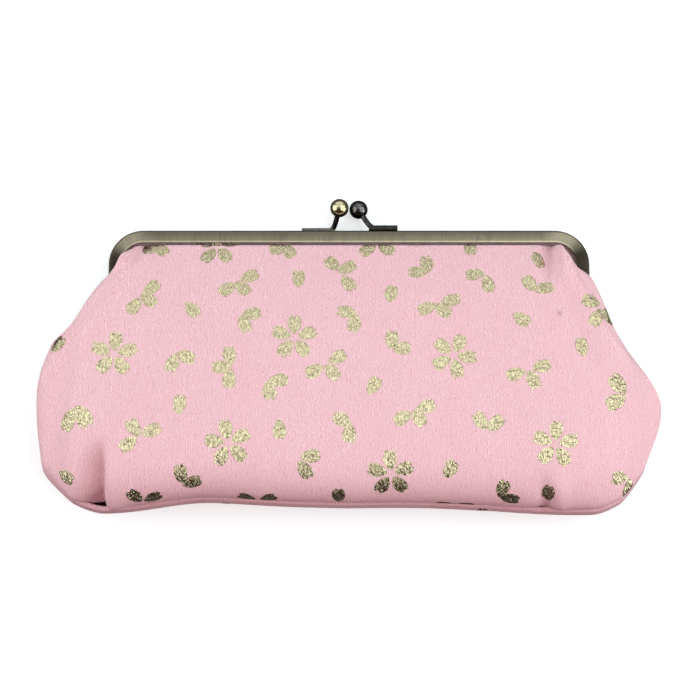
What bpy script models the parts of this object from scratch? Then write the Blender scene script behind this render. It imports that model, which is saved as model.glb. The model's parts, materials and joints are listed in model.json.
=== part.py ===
"""Kiss-lock clutch bag, lying on its back.

Metres, +Z up out of the front panel, +Y towards the frame, +X to the right.

Every piece is laid out in the bag's own plane first: x across, u up towards the frame's top edge (0 there),
w out of the front panel (0 where the two frame halves meet). The whole bag is then tipped to the angle at
which it rests: the back half of the frame on its outer edge, and the back panel on the flat it sags to.
"""

import math

import bmesh
import bpy
import numpy as np
from mathutils import Euler, Matrix, Vector

# Frame: two bent channels, open towards the inside of the bow
FRAME_WIDTH = 0.2100
HINGE_DROP = 0.0380
CORNER_RADIUS = 0.0150
CHANNEL_FACE = 0.0050
CHANNEL_DEPTH = 0.0051
SHEET = 0.0006
OUTER_EDGE_RADIUS = 0.0013
MATING_EDGE_RADIUS = 0.0006
LIP_DIP = 0.00015
MATING_GAP = 0.0004
CHANNEL_END_ABOVE_HINGE = 0.0065

# Riveted hinges
EAR_RADIUS = 0.0032
EAR_ROOT = 0.0022
EAR_INSET = 0.00005
RIVET_RADIUS = 0.0010
RIVET_HEAD_RADIUS = 0.0020
RIVET_HEAD_HEIGHT = 0.0008

# Twin-ball clasp
BALL_DIAMETER = 0.0081
BALL_RISE = 0.0102
FRONT_BALL_FORWARD = 0.0008
BACK_BALL_FORWARD = 0.0040
STEM_DIAMETER = 0.0023
STEM_IN_BALL = 0.0024
FOOT_THICKNESS = 0.0022
FOOT_WIDTH = 0.0030
FRONT_FOOT_LENGTH = 0.0126
FRONT_FOOT_START = 0.0087
BACK_FOOT_LENGTH = 0.0147
BACK_FOOT_START = 0.0061

# Pouch
BAG_WIDTH = 0.2696
BAG_HEIGHT = 0.1210
PUFF = 0.0215
REST_FLAT = 0.0026
CLOTH = 0.0010
LINING = 0.0005
MOUTH_EASE = 0.0008
RIB_SPREAD = 1.5

# How the resting pouch slumps: shares of its overhang past the frame, over spans of its height, and the low
# seam's sway, down on the right and up on the left
RIGHT_SHOULDER_SLACK = 0.52
RIGHT_SHOULDER_SPAN = (0.33, 0.66)
RIGHT_CORNER_SLACK = 0.26
RIGHT_CORNER_SPAN = (0.66, 0.98)
LEFT_SHOULDER_SLACK = 0.15
LEFT_SHOULDER_SPAN = (0.30, 0.42)
LEFT_CORNER_SLACK = 0.15
LEFT_CORNER_SPAN = (0.84, 0.99)
SEAM_SWAY = 0.0018
SWAY_PLACE = 0.066
SWAY_REACH = 0.028
SWAY_SPAN = (0.45, 1.0)

# Clearance wherever two pieces meet
FIT = 0.0003

HALF_WIDTH = FRAME_WIDTH / 2
FACE_W = MATING_GAP / 2 + CHANNEL_DEPTH
CHANNEL_END = HINGE_DROP - CHANNEL_END_ABOVE_HINGE
CLOTH_W = FACE_W - LIP_DIP - SHEET - FIT
LINING_W = CLOTH_W - CLOTH - FIT
CORD_DIAMETER = LINING_W - LINING - 2 * FIT - SHEET - MATING_GAP / 2
BALL_OFFSET = (BALL_DIAMETER + FIT) / 2
EAR_STEP = SHEET + FIT
EAR_THICKNESS = SHEET - 2 * EAR_INSET

# The pouch's pattern is drafted in millimetres on a bag of these sizes, then graded to the sizes above
DRAFT_X = (0.0, 100.0, 105.0, 137.2)
DRAFT_U = (0.0, 5.0, 31.5, 38.0, 41.2, 121.3)
DRAFT_W = (0.0, 5.2, 21.5)
GRADED_X = (0.0, HALF_WIDTH - CHANNEL_FACE, HALF_WIDTH, BAG_WIDTH / 2)
GRADED_U = (0.0, CHANNEL_FACE, CHANNEL_END, HINGE_DROP, HINGE_DROP + EAR_RADIUS, BAG_HEIGHT)
GRADED_W = (0.0, FACE_W, PUFF)
DRAFT_LEG = 16.5
DRAFT_BOW = 15.0 * math.pi / 2
DRAFT_BAR = 90.0

# Ribs of the outer panel's left half: where each leaves the channel (distance along it from the leg's end),
# then the points (x, u, w) that pull it over the leg and down the front, and last its end on the seam
FRONT_RIBS = (
    (0.0, ((-98.7, -32.5, 4.2), (-98.6, -34.0, 4.0), (-98.9, -35.6, 3.5), (-99.6, -37.0, 3.0),
           (-100.4, -38.2, 2.3), (-100.6, -39.0, 1.5))),
    (2.0, ((-98.5, -30.3, 4.4), (-98.4, -31.8, 6.0), (-99.4, -34.5, 6.9), (-101.5, -38.0, 6.4),
           (-102.0, -41.5, 4.0), (-101.2, -42.8, 1.0))),
    (5.0, ((-98.3, -27.0, 4.5), (-98.4, -28.5, 6.9), (-102.0, -31.0, 8.2), (-108.5, -34.5, 7.6),
           (-111.0, -41.0, 5.0), (-107.5, -43.6, 0.6))),
    (9.0, ((-98.2, -22.8, 4.6), (-98.8, -24.0, 6.9), (-105.0, -26.0, 8.0), (-112.5, -29.5, 8.0),
           (-120.5, -39.0, 7.0), (-117.0, -43.0, 0.6))),
    (13.0, ((-98.2, -18.8, 4.6), (-99.0, -20.0, 7.1), (-104.5, -21.0, 8.6), (-110.0, -25.5, 12.0),
            (-124.5, -42.5, 13.0), (-124.5, -47.4, 0.6))),
    (16.5, ((-98.0, -15.5, 4.6), (-98.6, -17.0, 7.3), (-102.0, -18.5, 10.0), (-107.0, -27.0, 15.5),
            (-132.0, -51.0, 19.0), (-133.0, -55.2, 0.5))),
    (28.3, ((-95.8, -9.2, 4.8), (-95.0, -12.0, 7.8), (-97.0, -21.0, 12.0), (-105.5, -40.0, 17.5),
            (-138.4, -66.0, 23.5), (-137.2, -80.0, 0.5))),
    (40.06, ((-90.0, -8.0, 5.2), (-90.0, -15.0, 8.4), (-91.5, -31.0, 13.0), (-101.0, -64.0, 19.0),
             (-136.4, -101.5, 26.5), (-134.8, -105.5, 0.5))),
    (46.0, ((-84.5, -8.5, 5.3), (-85.0, -17.0, 9.2), (-87.0, -35.0, 14.2), (-96.0, -72.0, 20.0),
            (-121.5, -118.2, 25.5), (-122.0, -119.8, 0.5))),
    (55.0, ((-75.0, -9.0, 5.4), (-75.5, -19.5, 9.8), (-78.0, -40.0, 15.0), (-86.0, -78.0, 20.5),
            (-104.5, -122.3, 25.0), (-104.5, -123.9, 0.5))),
    (85.0, ((-45.0, -9.0, 5.4), (-45.3, -21.0, 10.0), (-47.0, -43.0, 15.4), (-52.0, -80.0, 20.3),
            (-57.0, -119.5, 23.5), (-57.0, -120.6, 0.5))),
    (130.06, ((0.0, -9.0, 5.4), (0.0, -21.0, 10.0), (0.0, -43.0, 15.4), (0.0, -80.0, 20.3),
              (0.0, -119.9, 23.5), (0.0, -121.3, 0.5))),
)

# The back panel lies on the table: its cloth stays inside the bow along the legs and is the same beyond them
BACK_LEG_RIBS = (
    FRONT_RIBS[0],
    (2.0, ((-98.5, -30.3, 4.2), (-98.0, -32.5, 4.5), (-98.2, -36.0, 4.8), (-99.5, -40.5, 4.6),
           (-100.6, -43.6, 3.2), (-101.2, -42.8, 1.2))),
    (5.0, ((-98.0, -27.0, 4.3), (-96.6, -30.0, 4.9), (-96.4, -36.0, 6.0), (-99.5, -44.0, 6.6),
           (-106.0, -48.0, 4.8), (-107.5, -43.8, 1.0))),
    (9.0, ((-97.6, -22.8, 4.4), (-95.2, -27.0, 5.4), (-94.6, -37.0, 7.2), (-100.0, -48.0, 8.8),
           (-115.0, -53.0, 7.5), (-117.0, -43.6, 1.0))),
    (13.0, ((-97.2, -18.8, 4.4), (-94.0, -24.0, 5.8), (-92.5, -38.0, 8.2), (-99.5, -52.5, 10.5),
            (-124.5, -58.5, 10.5), (-124.5, -48.0, 1.0))),
    (16.5, ((-97.0, -15.8, 4.5), (-93.0, -21.0, 6.2), (-90.5, -39.0, 9.2), (-99.0, -57.0, 12.5),
            (-131.5, -65.0, 14.5), (-131.6, -55.0, 0.9))),
    (28.3, ((-95.2, -9.8, 4.7), (-91.5, -15.0, 6.8), (-88.0, -40.0, 10.6), (-97.0, -63.5, 15.5),
            (-136.5, -80.0, 21.0), (-137.2, -80.0, 0.6))),
    (40.06, ((-90.0, -8.0, 5.2), (-90.0, -15.0, 8.0), (-87.5, -40.0, 12.4), (-96.0, -70.0, 18.0),
             (-136.4, -101.5, 25.5), (-134.8, -105.5, 0.6))),
    (46.0, ((-84.5, -8.5, 5.3), (-85.0, -17.0, 9.0), (-83.5, -42.0, 14.0), (-91.0, -77.0, 19.5),
            (-121.5, -118.2, 25.5), (-122.0, -119.8, 0.6))),
)
BACK_RIBS = BACK_LEG_RIBS + FRONT_RIBS[9:]

# Ribs of the lining's left half: it keeps inside the bow, under the outer panel
LINING_RIBS = (
    (0.0, ((-97.5, -32.5, 2.8), (-96.5, -34.0, 2.7), (-96.2, -35.6, 2.4), (-96.2, -37.0, 2.0),
           (-96.3, -38.5, 1.5), (-96.5, -40.0, 1.0))),
    (6.0, ((-96.5, -27.0, 2.9), (-94.0, -31.0, 3.0), (-93.0, -37.0, 3.3), (-94.5, -44.0, 3.7),
           (-98.5, -49.5, 2.8), (-102.0, -48.5, 0.8))),
    (16.5, ((-96.0, -17.5, 3.0), (-91.5, -23.0, 3.7), (-90.0, -35.0, 4.9), (-96.0, -50.0, 6.8),
            (-113.0, -56.5, 6.8), (-118.0, -52.0, 0.6))),
    (28.3, ((-94.0, -11.0, 3.2), (-89.5, -17.0, 4.2), (-87.0, -33.0, 6.4), (-95.5, -56.0, 10.2),
            (-129.0, -74.0, 15.0), (-132.2, -79.0, 0.5))),
    (40.06, ((-89.5, -9.0, 3.6), (-88.0, -17.0, 5.4), (-85.0, -38.0, 8.6), (-93.0, -68.0, 13.6),
             (-129.5, -97.0, 20.0), (-129.5, -102.0, 0.5))),
    (55.0, ((-74.5, -9.5, 3.8), (-74.5, -20.0, 7.0), (-77.0, -40.0, 11.4), (-85.0, -77.0, 16.6),
            (-100.5, -116.0, 20.5), (-100.5, -117.6, 0.5))),
    (130.06, ((0.0, -9.5, 3.8), (0.0, -21.5, 7.4), (0.0, -43.0, 12.4), (0.0, -79.0, 17.2),
              (0.0, -115.5, 20.3), (0.0, -117.2, 0.5))),
)


def clear_scene():
    for thing in list(bpy.data.objects):
        bpy.data.objects.remove(thing, do_unlink=True)


def make_collection(name):
    group = bpy.data.collections.new(name)
    bpy.context.scene.collection.children.link(group)
    return group


def make_material(name, colour, roughness, metallic=0.0):
    finish = bpy.data.materials.new(name)
    finish.use_nodes = True
    shader = finish.node_tree.nodes["Principled BSDF"]
    shader.inputs["Base Color"].default_value = (*colour, 1.0)
    shader.inputs["Roughness"].default_value = roughness
    shader.inputs["Metallic"].default_value = metallic
    finish.diffuse_color = (*colour, 1.0)
    return finish


clear_scene()
BAG = make_collection("clutch_bag")
CUTTERS = make_collection("cutters")

ANTIQUE_BRASS = make_material("antique_brass", (0.25, 0.22, 0.14), 0.38, 1.0)
GUNMETAL = make_material("gunmetal", (0.09, 0.085, 0.085), 0.28, 1.0)
BRIGHT_BRASS = make_material("bright_brass", (0.55, 0.50, 0.32), 0.22, 1.0)
CREPE = make_material("pink_crepe", (0.80, 0.45, 0.50), 0.85)
LINING_CLOTH = make_material("lining_cloth", (0.84, 0.68, 0.66), 0.80)
PAPER = make_material("paper_cord", (0.62, 0.50, 0.36), 0.90)


def add_mesh(name, mesh, material=None, parent=None, group=BAG):
    """Link a mesh as an object under the parent's axes."""
    thing = bpy.data.objects.new(name, mesh)
    group.objects.link(thing)
    thing.parent = parent
    if material is not None:
        mesh.materials.clear()
        mesh.materials.append(material)
    return thing


def add_cutter(name, mesh, parent):
    cutter = add_mesh(name, mesh, parent=parent, group=CUTTERS)
    cutter.hide_render = True
    cutter.display_type = "WIRE"
    return cutter


def add_empty(name, location=(0, 0, 0), rotation=(0, 0, 0), parent=None):
    axes = bpy.data.objects.new(name, None)
    BAG.objects.link(axes)
    axes.location = location
    axes.rotation_euler = rotation
    axes.parent = parent
    return axes


def bmesh_to_mesh(name, shape):
    bmesh.ops.recalc_face_normals(shape, faces=shape.faces)
    mesh = bpy.data.meshes.new(name)
    shape.to_mesh(mesh)
    shape.free()
    return mesh


def prism(name, outline, sweep):
    """A closed solid: the outline's points moved along one straight sweep."""
    shape = bmesh.new()
    face = shape.faces.new([shape.verts.new(point) for point in outline])
    moved = bmesh.ops.extrude_face_region(shape, geom=[face])["geom"]
    corners = [item for item in moved if isinstance(item, bmesh.types.BMVert)]
    bmesh.ops.translate(shape, vec=Vector(sweep), verts=corners)
    return bmesh_to_mesh(name, shape)


def poly_curve(name, points, cyclic=False):
    curve = bpy.data.curves.new(name, "CURVE")
    curve.dimensions = "3D"
    spline = curve.splines.new("POLY")
    spline.points.add(len(points) - 1)
    for knot, point in zip(spline.points, points):
        knot.co = (*point, 1.0)
    spline.use_cyclic_u = cyclic
    return curve


def curve_mesh(name, curve):
    """The closed mesh of a bevelled curve, with its caps welded on."""
    thing = bpy.data.objects.new(name, curve)
    CUTTERS.objects.link(thing)
    bpy.context.view_layer.update()
    mesh = bpy.data.meshes.new_from_object(thing.evaluated_get(bpy.context.evaluated_depsgraph_get()))
    bpy.data.objects.remove(thing, do_unlink=True)
    shape = bmesh.new()
    shape.from_mesh(mesh)
    bmesh.ops.remove_doubles(shape, verts=shape.verts, dist=1e-6)
    caps = [face for face in shape.faces if len(face.verts) > 4]
    bmesh.ops.triangulate(shape, faces=caps, ngon_method="EAR_CLIP")
    bpy.data.meshes.remove(mesh)
    return bmesh_to_mesh(name, shape)


def tube_mesh(name, points, diameter, sides):
    """A round wire along the points; sides is a multiple of four."""
    curve = poly_curve(name, points)
    curve.bevel_depth = diameter / 2
    curve.bevel_resolution = sides // 2 - 2
    curve.use_fill_caps = True
    return curve_mesh(name, curve)


def shade_smooth(thing, degrees=35):
    thing.data.shade_smooth()
    thing.data.set_sharp_from_angle(angle=math.radians(degrees))


def add_boolean(thing, cutter, operation, solver="EXACT"):
    step = thing.modifiers.new(cutter.name, "BOOLEAN")
    step.operation = operation
    step.solver = solver
    step.object = cutter


def arc(centre, radius, start, end, steps):
    """Points of an arc, angles in degrees, both ends included."""
    angles = [math.radians(start + (end - start) * i / steps) for i in range(steps + 1)]
    return [(centre[0] + radius * math.cos(a), centre[1] + radius * math.sin(a)) for a in angles]


# Where the bag rests: the angle between its mid-plane and the table, and how high the mating line lies


def resting_tilt(lowest_u):
    """Tilt and height at which the frame's back edge and the flattened back panel both touch the table."""
    along = lowest_u - OUTER_EDGE_RADIUS
    across = PUFF - REST_FLAT - FACE_W + OUTER_EDGE_RADIUS
    tilt = math.atan2(across, along) - math.asin(OUTER_EDGE_RADIUS / math.hypot(along, across))
    height = OUTER_EDGE_RADIUS * (1 - math.sin(tilt)) + (FACE_W - OUTER_EDGE_RADIUS) * math.cos(tilt)
    return tilt, height


def tipped(points, tilt, rise, shift=0.0):
    """Points of the bag's plane (x, u, w) as points of the table (x, y, z)."""
    x, u, w = np.moveaxis(np.asarray(points, float), -1, 0)
    y = u * math.cos(tilt) + w * math.sin(tilt) + shift
    z = w * math.cos(tilt) - u * math.sin(tilt) + rise
    return np.stack([x, y, z], axis=-1)


# Pouch panels: ribs run from the frame's channel to the side and bottom seam


def channel_line(distance, depth, bow):
    """Points at a depth inside the bow's outer edge, and the inward direction, by distance from the leg's end.

    The distance is the drafted one, so a station keeps its place on the leg, the corner or the bar.
    """
    leg = np.clip(distance / DRAFT_LEG, 0.0, 1.0)
    turn = np.clip((distance - DRAFT_LEG) / DRAFT_BOW, 0.0, 1.0) * math.pi / 2
    bar = np.clip((distance - DRAFT_LEG - DRAFT_BOW) / DRAFT_BAR, 0.0, 1.0)
    inward = np.stack([np.cos(turn), -np.sin(turn)], axis=-1)
    x = -HALF_WIDTH + bow * (1 - np.cos(turn)) + bar * (HALF_WIDTH - bow)
    u = -bow + bow * np.sin(turn) - (1 - leg) * (CHANNEL_END - bow)
    return np.stack([x, u], axis=-1) + inward * depth


def graded(points):
    """Drafted pattern points in millimetres as points of this bag in metres."""
    x, u, w = np.moveaxis(points, -1, 0)
    return np.stack([
        -beyond(-x, DRAFT_X, GRADED_X),
        -beyond(-u, DRAFT_U, GRADED_U),
        beyond(w, DRAFT_W, GRADED_W),
    ], axis=-1)


def beyond(value, drafted, actual):
    """Piecewise grading that keeps its last slope past the last size."""
    slope = (actual[-1] - actual[-2]) / (drafted[-1] - drafted[-2])
    past = np.maximum(value - drafted[-1], 0.0) * slope
    return np.interp(value, drafted, actual) + past


def smooth_between(stations, values, at):
    """Cubic interpolation through the stations that never overshoots them."""
    step = np.diff(stations)[:, None]
    slope = np.diff(values, axis=0) / step
    product = slope[:-1] * slope[1:]
    total = np.where(slope[:-1] + slope[1:] == 0, 1.0, slope[:-1] + slope[1:])
    tangent = np.concatenate([slope[:1], np.where(product > 0, 2 * product / total, 0.0), slope[-1:]])
    cell = np.clip(np.searchsorted(stations, at, side="right") - 1, 0, len(stations) - 2)
    width = step[cell]
    t = (at - stations[cell])[:, None] / width
    return (
        (1 + 2 * t) * (1 - t) ** 2 * values[cell]
        + t * (1 - t) ** 2 * width * tangent[cell]
        + t * t * (3 - 2 * t) * values[cell + 1]
        + t * t * (t - 1) * width * tangent[cell + 1]
    )


def spline_weights(count, at):
    """Clamped cubic B-spline weights of each of the count control points, for each parameter in at."""
    knots = np.concatenate([np.zeros(3), np.linspace(0, 1, count - 2), np.ones(3)])
    at = np.minimum(at, 1 - 1e-9)
    basis = [((at >= low) & (at < high)).astype(float) for low, high in zip(knots[:-1], knots[1:])]
    for degree in (1, 2, 3):
        for i in range(len(basis) - 1):
            rise = knots[i + degree] - knots[i]
            fall = knots[i + degree + 1] - knots[i + 1]
            left = (at - knots[i]) / rise * basis[i] if rise > 0 else 0.0
            right = (knots[i + degree + 1] - at) / fall * basis[i + 1] if fall > 0 else 0.0
            basis[i] = left + right
        basis.pop()
    return np.stack(basis, axis=-1)


def eased(value, start, end):
    """0 before start, 1 past end, smooth between."""
    t = np.clip((value - start) / (end - start), 0.0, 1.0)
    return t * t * (3 - 2 * t)


def slack_share(drop, shoulder, shoulder_span, corner, corner_span):
    """Share of its overhang that a side loses at the shoulder and at the low corner; none between them."""
    return shoulder * (1 - eased(drop, *shoulder_span)) + corner * eased(drop, *corner_span)


def slackened(points):
    """The pattern's points moved as the resting bag slumps."""
    x, drop = points[..., 0], -points[..., 1] / BAG_HEIGHT
    right = slack_share(drop, RIGHT_SHOULDER_SLACK, RIGHT_SHOULDER_SPAN,
                        RIGHT_CORNER_SLACK, RIGHT_CORNER_SPAN)
    left = slack_share(drop, LEFT_SHOULDER_SLACK, LEFT_SHOULDER_SPAN,
                       LEFT_CORNER_SLACK, LEFT_CORNER_SPAN)
    sway = np.exp(-((x - SWAY_PLACE) / SWAY_REACH) ** 2) - np.exp(-((x + SWAY_PLACE) / SWAY_REACH) ** 2)
    moved = points.copy()
    moved[..., 0] = x - np.maximum(x - HALF_WIDTH, 0.0) * right + np.maximum(-x - HALF_WIDTH, 0.0) * left
    moved[..., 1] -= SEAM_SWAY * sway * eased(drop, *SWAY_SPAN)
    return moved


def panel_grid(ribs, depth_w, columns, rows):
    """The outer face of a front panel as a grid (rows, columns, 3) in the bag's plane.

    The first row lies deep in the channel and the second at its mouth; the rest follow the ribs.
    """
    stations = np.array([rib[0] for rib in ribs])
    pulls = np.array([rib[1] for rib in ribs], float)
    half = np.concatenate([
        np.linspace(0, DRAFT_LEG, columns[0] + 1)[:-1],
        DRAFT_LEG + DRAFT_BOW * np.linspace(0, 1, columns[1] + 1)[:-1],
        DRAFT_LEG + DRAFT_BOW + DRAFT_BAR * np.linspace(0, 1, columns[2] + 1) ** RIB_SPREAD,
    ])
    along = np.linspace(0, 1, rows + 1)
    weights = spline_weights(pulls.shape[1] + 1, along)

    start = channel_line(half, CHANNEL_FACE + MOUTH_EASE, CORNER_RADIUS)
    deep = channel_line(half, SHEET + FIT, CORNER_RADIUS)
    height = np.full((len(half), 1), depth_w)
    control = [np.concatenate([start, height], axis=-1)]
    for k in range(pulls.shape[1]):
        control.append(graded(smooth_between(stations, pulls[:, k], half)))
    surface = np.einsum("rk,kcd->rcd", weights, np.stack(control))
    left = np.concatenate([np.concatenate([deep, height], axis=-1)[None], surface])
    right = left[:, -2::-1] * np.array([-1.0, 1.0, 1.0])
    return slackened(np.concatenate([left, right], axis=1))


def cloth_object(name, grid, thickness, material, outward):
    """A cloth shell whose outer face is the grid and whose thickness lies inside it."""
    rows, columns = grid.shape[:2]
    number = np.arange(rows * columns).reshape(rows, columns)
    corners = (number[:-1, :-1], number[1:, :-1], number[1:, 1:], number[:-1, 1:])
    quads = np.stack(corners, axis=-1).reshape(-1, 4)
    if not outward:
        quads = quads[:, ::-1]
    mesh = bpy.data.meshes.new(name)
    mesh.from_pydata(grid.reshape(-1, 3).tolist(), [], quads.tolist())
    mesh.update()
    thing = add_mesh(name, mesh, material)
    wall = thing.modifiers.new("cloth", "SOLIDIFY")
    wall.thickness = thickness
    wall.offset = -1.0
    mesh.shade_smooth()
    return thing


def flattened(points, floor):
    """Cloth that the table holds up: nothing below the floor height."""
    lifted = points.copy()
    lifted[..., 2] = np.maximum(lifted[..., 2], floor)
    return lifted


# Frame halves


def bow_path():
    """Outer edge of the bow, up the left leg, across and down the right leg."""
    centre_x = HALF_WIDTH - CORNER_RADIUS
    left = arc((-centre_x, -CORNER_RADIUS), CORNER_RADIUS, 180, 90, 8)
    right = arc((centre_x, -CORNER_RADIUS), CORNER_RADIUS, 90, 0, 8)
    return [(-HALF_WIDTH, -CHANNEL_END), *left, *right, (HALF_WIDTH, -CHANNEL_END)]


def channel_section():
    """Closed outline of the folded sheet: x in from the outer edge, y out from the mating face."""
    top = CHANNEL_DEPTH
    lip = CHANNEL_FACE
    bend = OUTER_EDGE_RADIUS
    crown_x = 0.45 * CHANNEL_FACE
    outside = [(lip - LIP_DIP, top - LIP_DIP), (crown_x, top)]
    outside += arc((bend, top - bend), bend, 90, 180, 4)
    outside += arc((MATING_EDGE_RADIUS, MATING_EDGE_RADIUS), MATING_EDGE_RADIUS, 180, 270, 2)
    inside = [(lip, 0), (lip, SHEET), (SHEET, SHEET)]
    inside += arc((bend, top - bend), bend - SHEET, 180, 90, 3)
    inside += [(crown_x, top - SHEET), (lip - LIP_DIP, top - LIP_DIP - SHEET)]
    inside += [(lip, top - LIP_DIP - SHEET / 2)]
    return outside + inside


def channel_mesh(name, front):
    """The bent channel, by carrying its section along the bow."""
    section = [(x, (y + MATING_GAP / 2) * front, 0) for x, y in channel_section()]
    profile = poly_curve("section", section, cyclic=True)
    profile.dimensions = "2D"
    profile.fill_mode = "NONE"
    shape = bpy.data.objects.new("section", profile)
    CUTTERS.objects.link(shape)
    bow = poly_curve(name, [(x, u, 0) for x, u in bow_path()])
    bow.dimensions = "2D"
    bow.fill_mode = "NONE"
    bow.bevel_mode = "OBJECT"
    bow.bevel_object = shape
    bow.use_fill_caps = True
    mesh = curve_mesh(name, bow)
    bpy.data.objects.remove(shape, do_unlink=True)
    return mesh


def ear_outline(front):
    """Outline (u, w) of the riveting ear: a strip off the leg that ends in a disc round the rivet."""
    far_w = FACE_W - OUTER_EDGE_RADIUS - EAR_INSET
    near_w = MATING_GAP / 2 + EAR_INSET
    shut = 360 - math.degrees(math.acos(near_w / EAR_RADIUS))
    disc = arc((0, 0), EAR_RADIUS, 35, -shut, 18)
    outline = [(-CHANNEL_END + EAR_ROOT, far_w), (-CHANNEL_END - 0.0008, far_w)]
    outline += [(-HINGE_DROP + across, out) for out, across in disc]
    outline += [(-CHANNEL_END + EAR_ROOT, near_w)]
    return [(u, w * front) for u, w in outline]


def ear_strip_profile(side, step):
    """Profile (x, u) of an ear's strip, stepped in on one half so that the two ears lie side by side."""
    face = HALF_WIDTH - EAR_INSET
    back = face - EAR_THICKNESS
    top = -CHANNEL_END + 2 * EAR_ROOT
    step_top = -CHANNEL_END - FIT
    step_end = step_top - 1.5 * EAR_STEP
    low = -HINGE_DROP - 2 * EAR_RADIUS
    inner = [(back, top), (back, step_top), (back - step, step_end), (back - step, low)]
    outer = [(face - step, low), (face - step, step_end), (face, step_top), (face, top)]
    return [(x * side, u) for x, u in inner + outer]


def add_ear(frame, side, front, axes):
    """Join an ear to one leg: straight on the front half, stepped in on the back half."""
    label = ("right" if side > 0 else "left") + ("_front" if front > 0 else "_back")
    profile = ear_strip_profile(side, 0.0 if front > 0 else EAR_STEP)
    reach = FACE_W + EAR_RADIUS
    strip = prism("ear_" + label, [(x, u, -reach) for x, u in profile], (0, 0, 2 * reach))
    ear = add_cutter("ear_" + label, strip, axes)
    start = side * (HALF_WIDTH + CHANNEL_FACE)
    outline = [(start, u, w) for u, w in ear_outline(front)]
    trim = prism("ear_trim_" + label, outline, (-side * 2 * CHANNEL_FACE, 0, 0))
    add_boolean(ear, add_cutter("ear_trim_" + label, trim, axes), "INTERSECT")
    add_boolean(frame, ear, "UNION", "MANIFOLD")


def cylinder_mesh(name, radius, length, segments, turn):
    shape = bmesh.new()
    bmesh.ops.create_cone(shape, cap_ends=True, segments=segments, radius1=radius, radius2=radius,
                          depth=length, matrix=turn)
    return bmesh_to_mesh(name, shape)


def add_frame_half(name, front, axes, pivot):
    """One half of the frame; front is +1 for the half on the front panel, -1 for the other."""
    mesh = channel_mesh(name, front)
    frame = add_mesh(name, mesh, ANTIQUE_BRASS, axes)
    for side in (-1, 1):
        add_ear(frame, side, front, axes)
    across = Matrix.Translation(pivot) @ Euler((0, math.pi / 2, 0)).to_matrix().to_4x4()
    hole = cylinder_mesh("hole_" + name, RIVET_RADIUS + FIT, FRAME_WIDTH + 4 * CHANNEL_FACE, 16, across)
    add_boolean(frame, add_cutter("hole_" + name, hole, axes), "DIFFERENCE")
    shade_smooth(frame)
    return frame


def add_rivet(name, side, axes):
    """A turned rivet through both ears: a domed head outside and a flatter clenched one inside."""
    inner_face = -(EAR_STEP + SHEET + FIT)
    dome = RIVET_HEAD_HEIGHT
    outer = [(0, dome + FIT), (0.5 * RIVET_HEAD_RADIUS, 0.9 * dome + FIT),
             (0.87 * RIVET_HEAD_RADIUS, 0.5 * dome + FIT), (RIVET_HEAD_RADIUS, FIT), (RIVET_RADIUS, FIT)]
    inner = [(RIVET_RADIUS, inner_face), (0.85 * RIVET_HEAD_RADIUS, inner_face),
             (0.75 * RIVET_HEAD_RADIUS, inner_face - 0.7 * dome), (0, inner_face - 0.8 * dome)]
    mesh = bpy.data.meshes.new(name)
    profile = [(radius, 0, z) for radius, z in outer + inner]
    mesh.from_pydata(profile, [(i, i + 1) for i in range(len(profile) - 1)], [])
    rivet = add_mesh(name, mesh, ANTIQUE_BRASS, axes)
    rivet.location = (side * HALF_WIDTH, -HINGE_DROP, 0)
    rivet.rotation_euler = (0, side * math.pi / 2, 0)
    turning = rivet.modifiers.new("turning", "SCREW")
    turning.steps = 14
    turning.render_steps = 14
    turning.use_merge_vertices = True
    turning.merge_threshold = 1e-5
    turning.use_smooth_shade = True


def add_paper_cord(name, front, axes, shift=(0.0, 0.0)):
    """The twisted paper cord that is pressed into the channel behind the cloth."""
    depth = CHANNEL_FACE / 2
    w = MATING_GAP / 2 + SHEET + FIT + CORD_DIAMETER / 2
    stations = np.concatenate([
        [0.04 * DRAFT_LEG, DRAFT_LEG / 2],
        DRAFT_LEG + DRAFT_BOW * np.linspace(0, 1, 9),
        [DRAFT_LEG + DRAFT_BOW + DRAFT_BAR],
    ])
    left = channel_line(stations, depth, CORNER_RADIUS)
    right = left[-2::-1] * np.array([-1.0, 1.0])
    points = [(x - shift[0], u - shift[1], w * front) for x, u in np.concatenate([left, right])]
    add_mesh(name, tube_mesh(name, points, CORD_DIAMETER, 8), PAPER, axes)


# Clasp


def clasp_stem_points(side, foot_w, ball, turn_x):
    """The round stem, from inside its foot up to the ball: a cubic curve with straight ends."""
    foot_u = FIT + FOOT_THICKNESS / 2
    start = Vector((turn_x + side * 0.0016, foot_u, foot_w))
    rising = Vector((turn_x - side * 0.0012, foot_u + 0.0004, foot_w))
    lean = (ball - Vector((turn_x, foot_u, foot_w))).normalized()
    end = ball - lean * (BALL_DIAMETER / 2 - STEM_IN_BALL)
    arriving = end - lean * 0.0042
    points = []
    for i in range(11):
        t = i / 10
        leaving = start * (1 - t) ** 3 + rising * 3 * t * (1 - t) ** 2
        point = leaving + arriving * 3 * t * t * (1 - t) + end * t ** 3
        points.append(point)
    return points, lean, end


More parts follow.
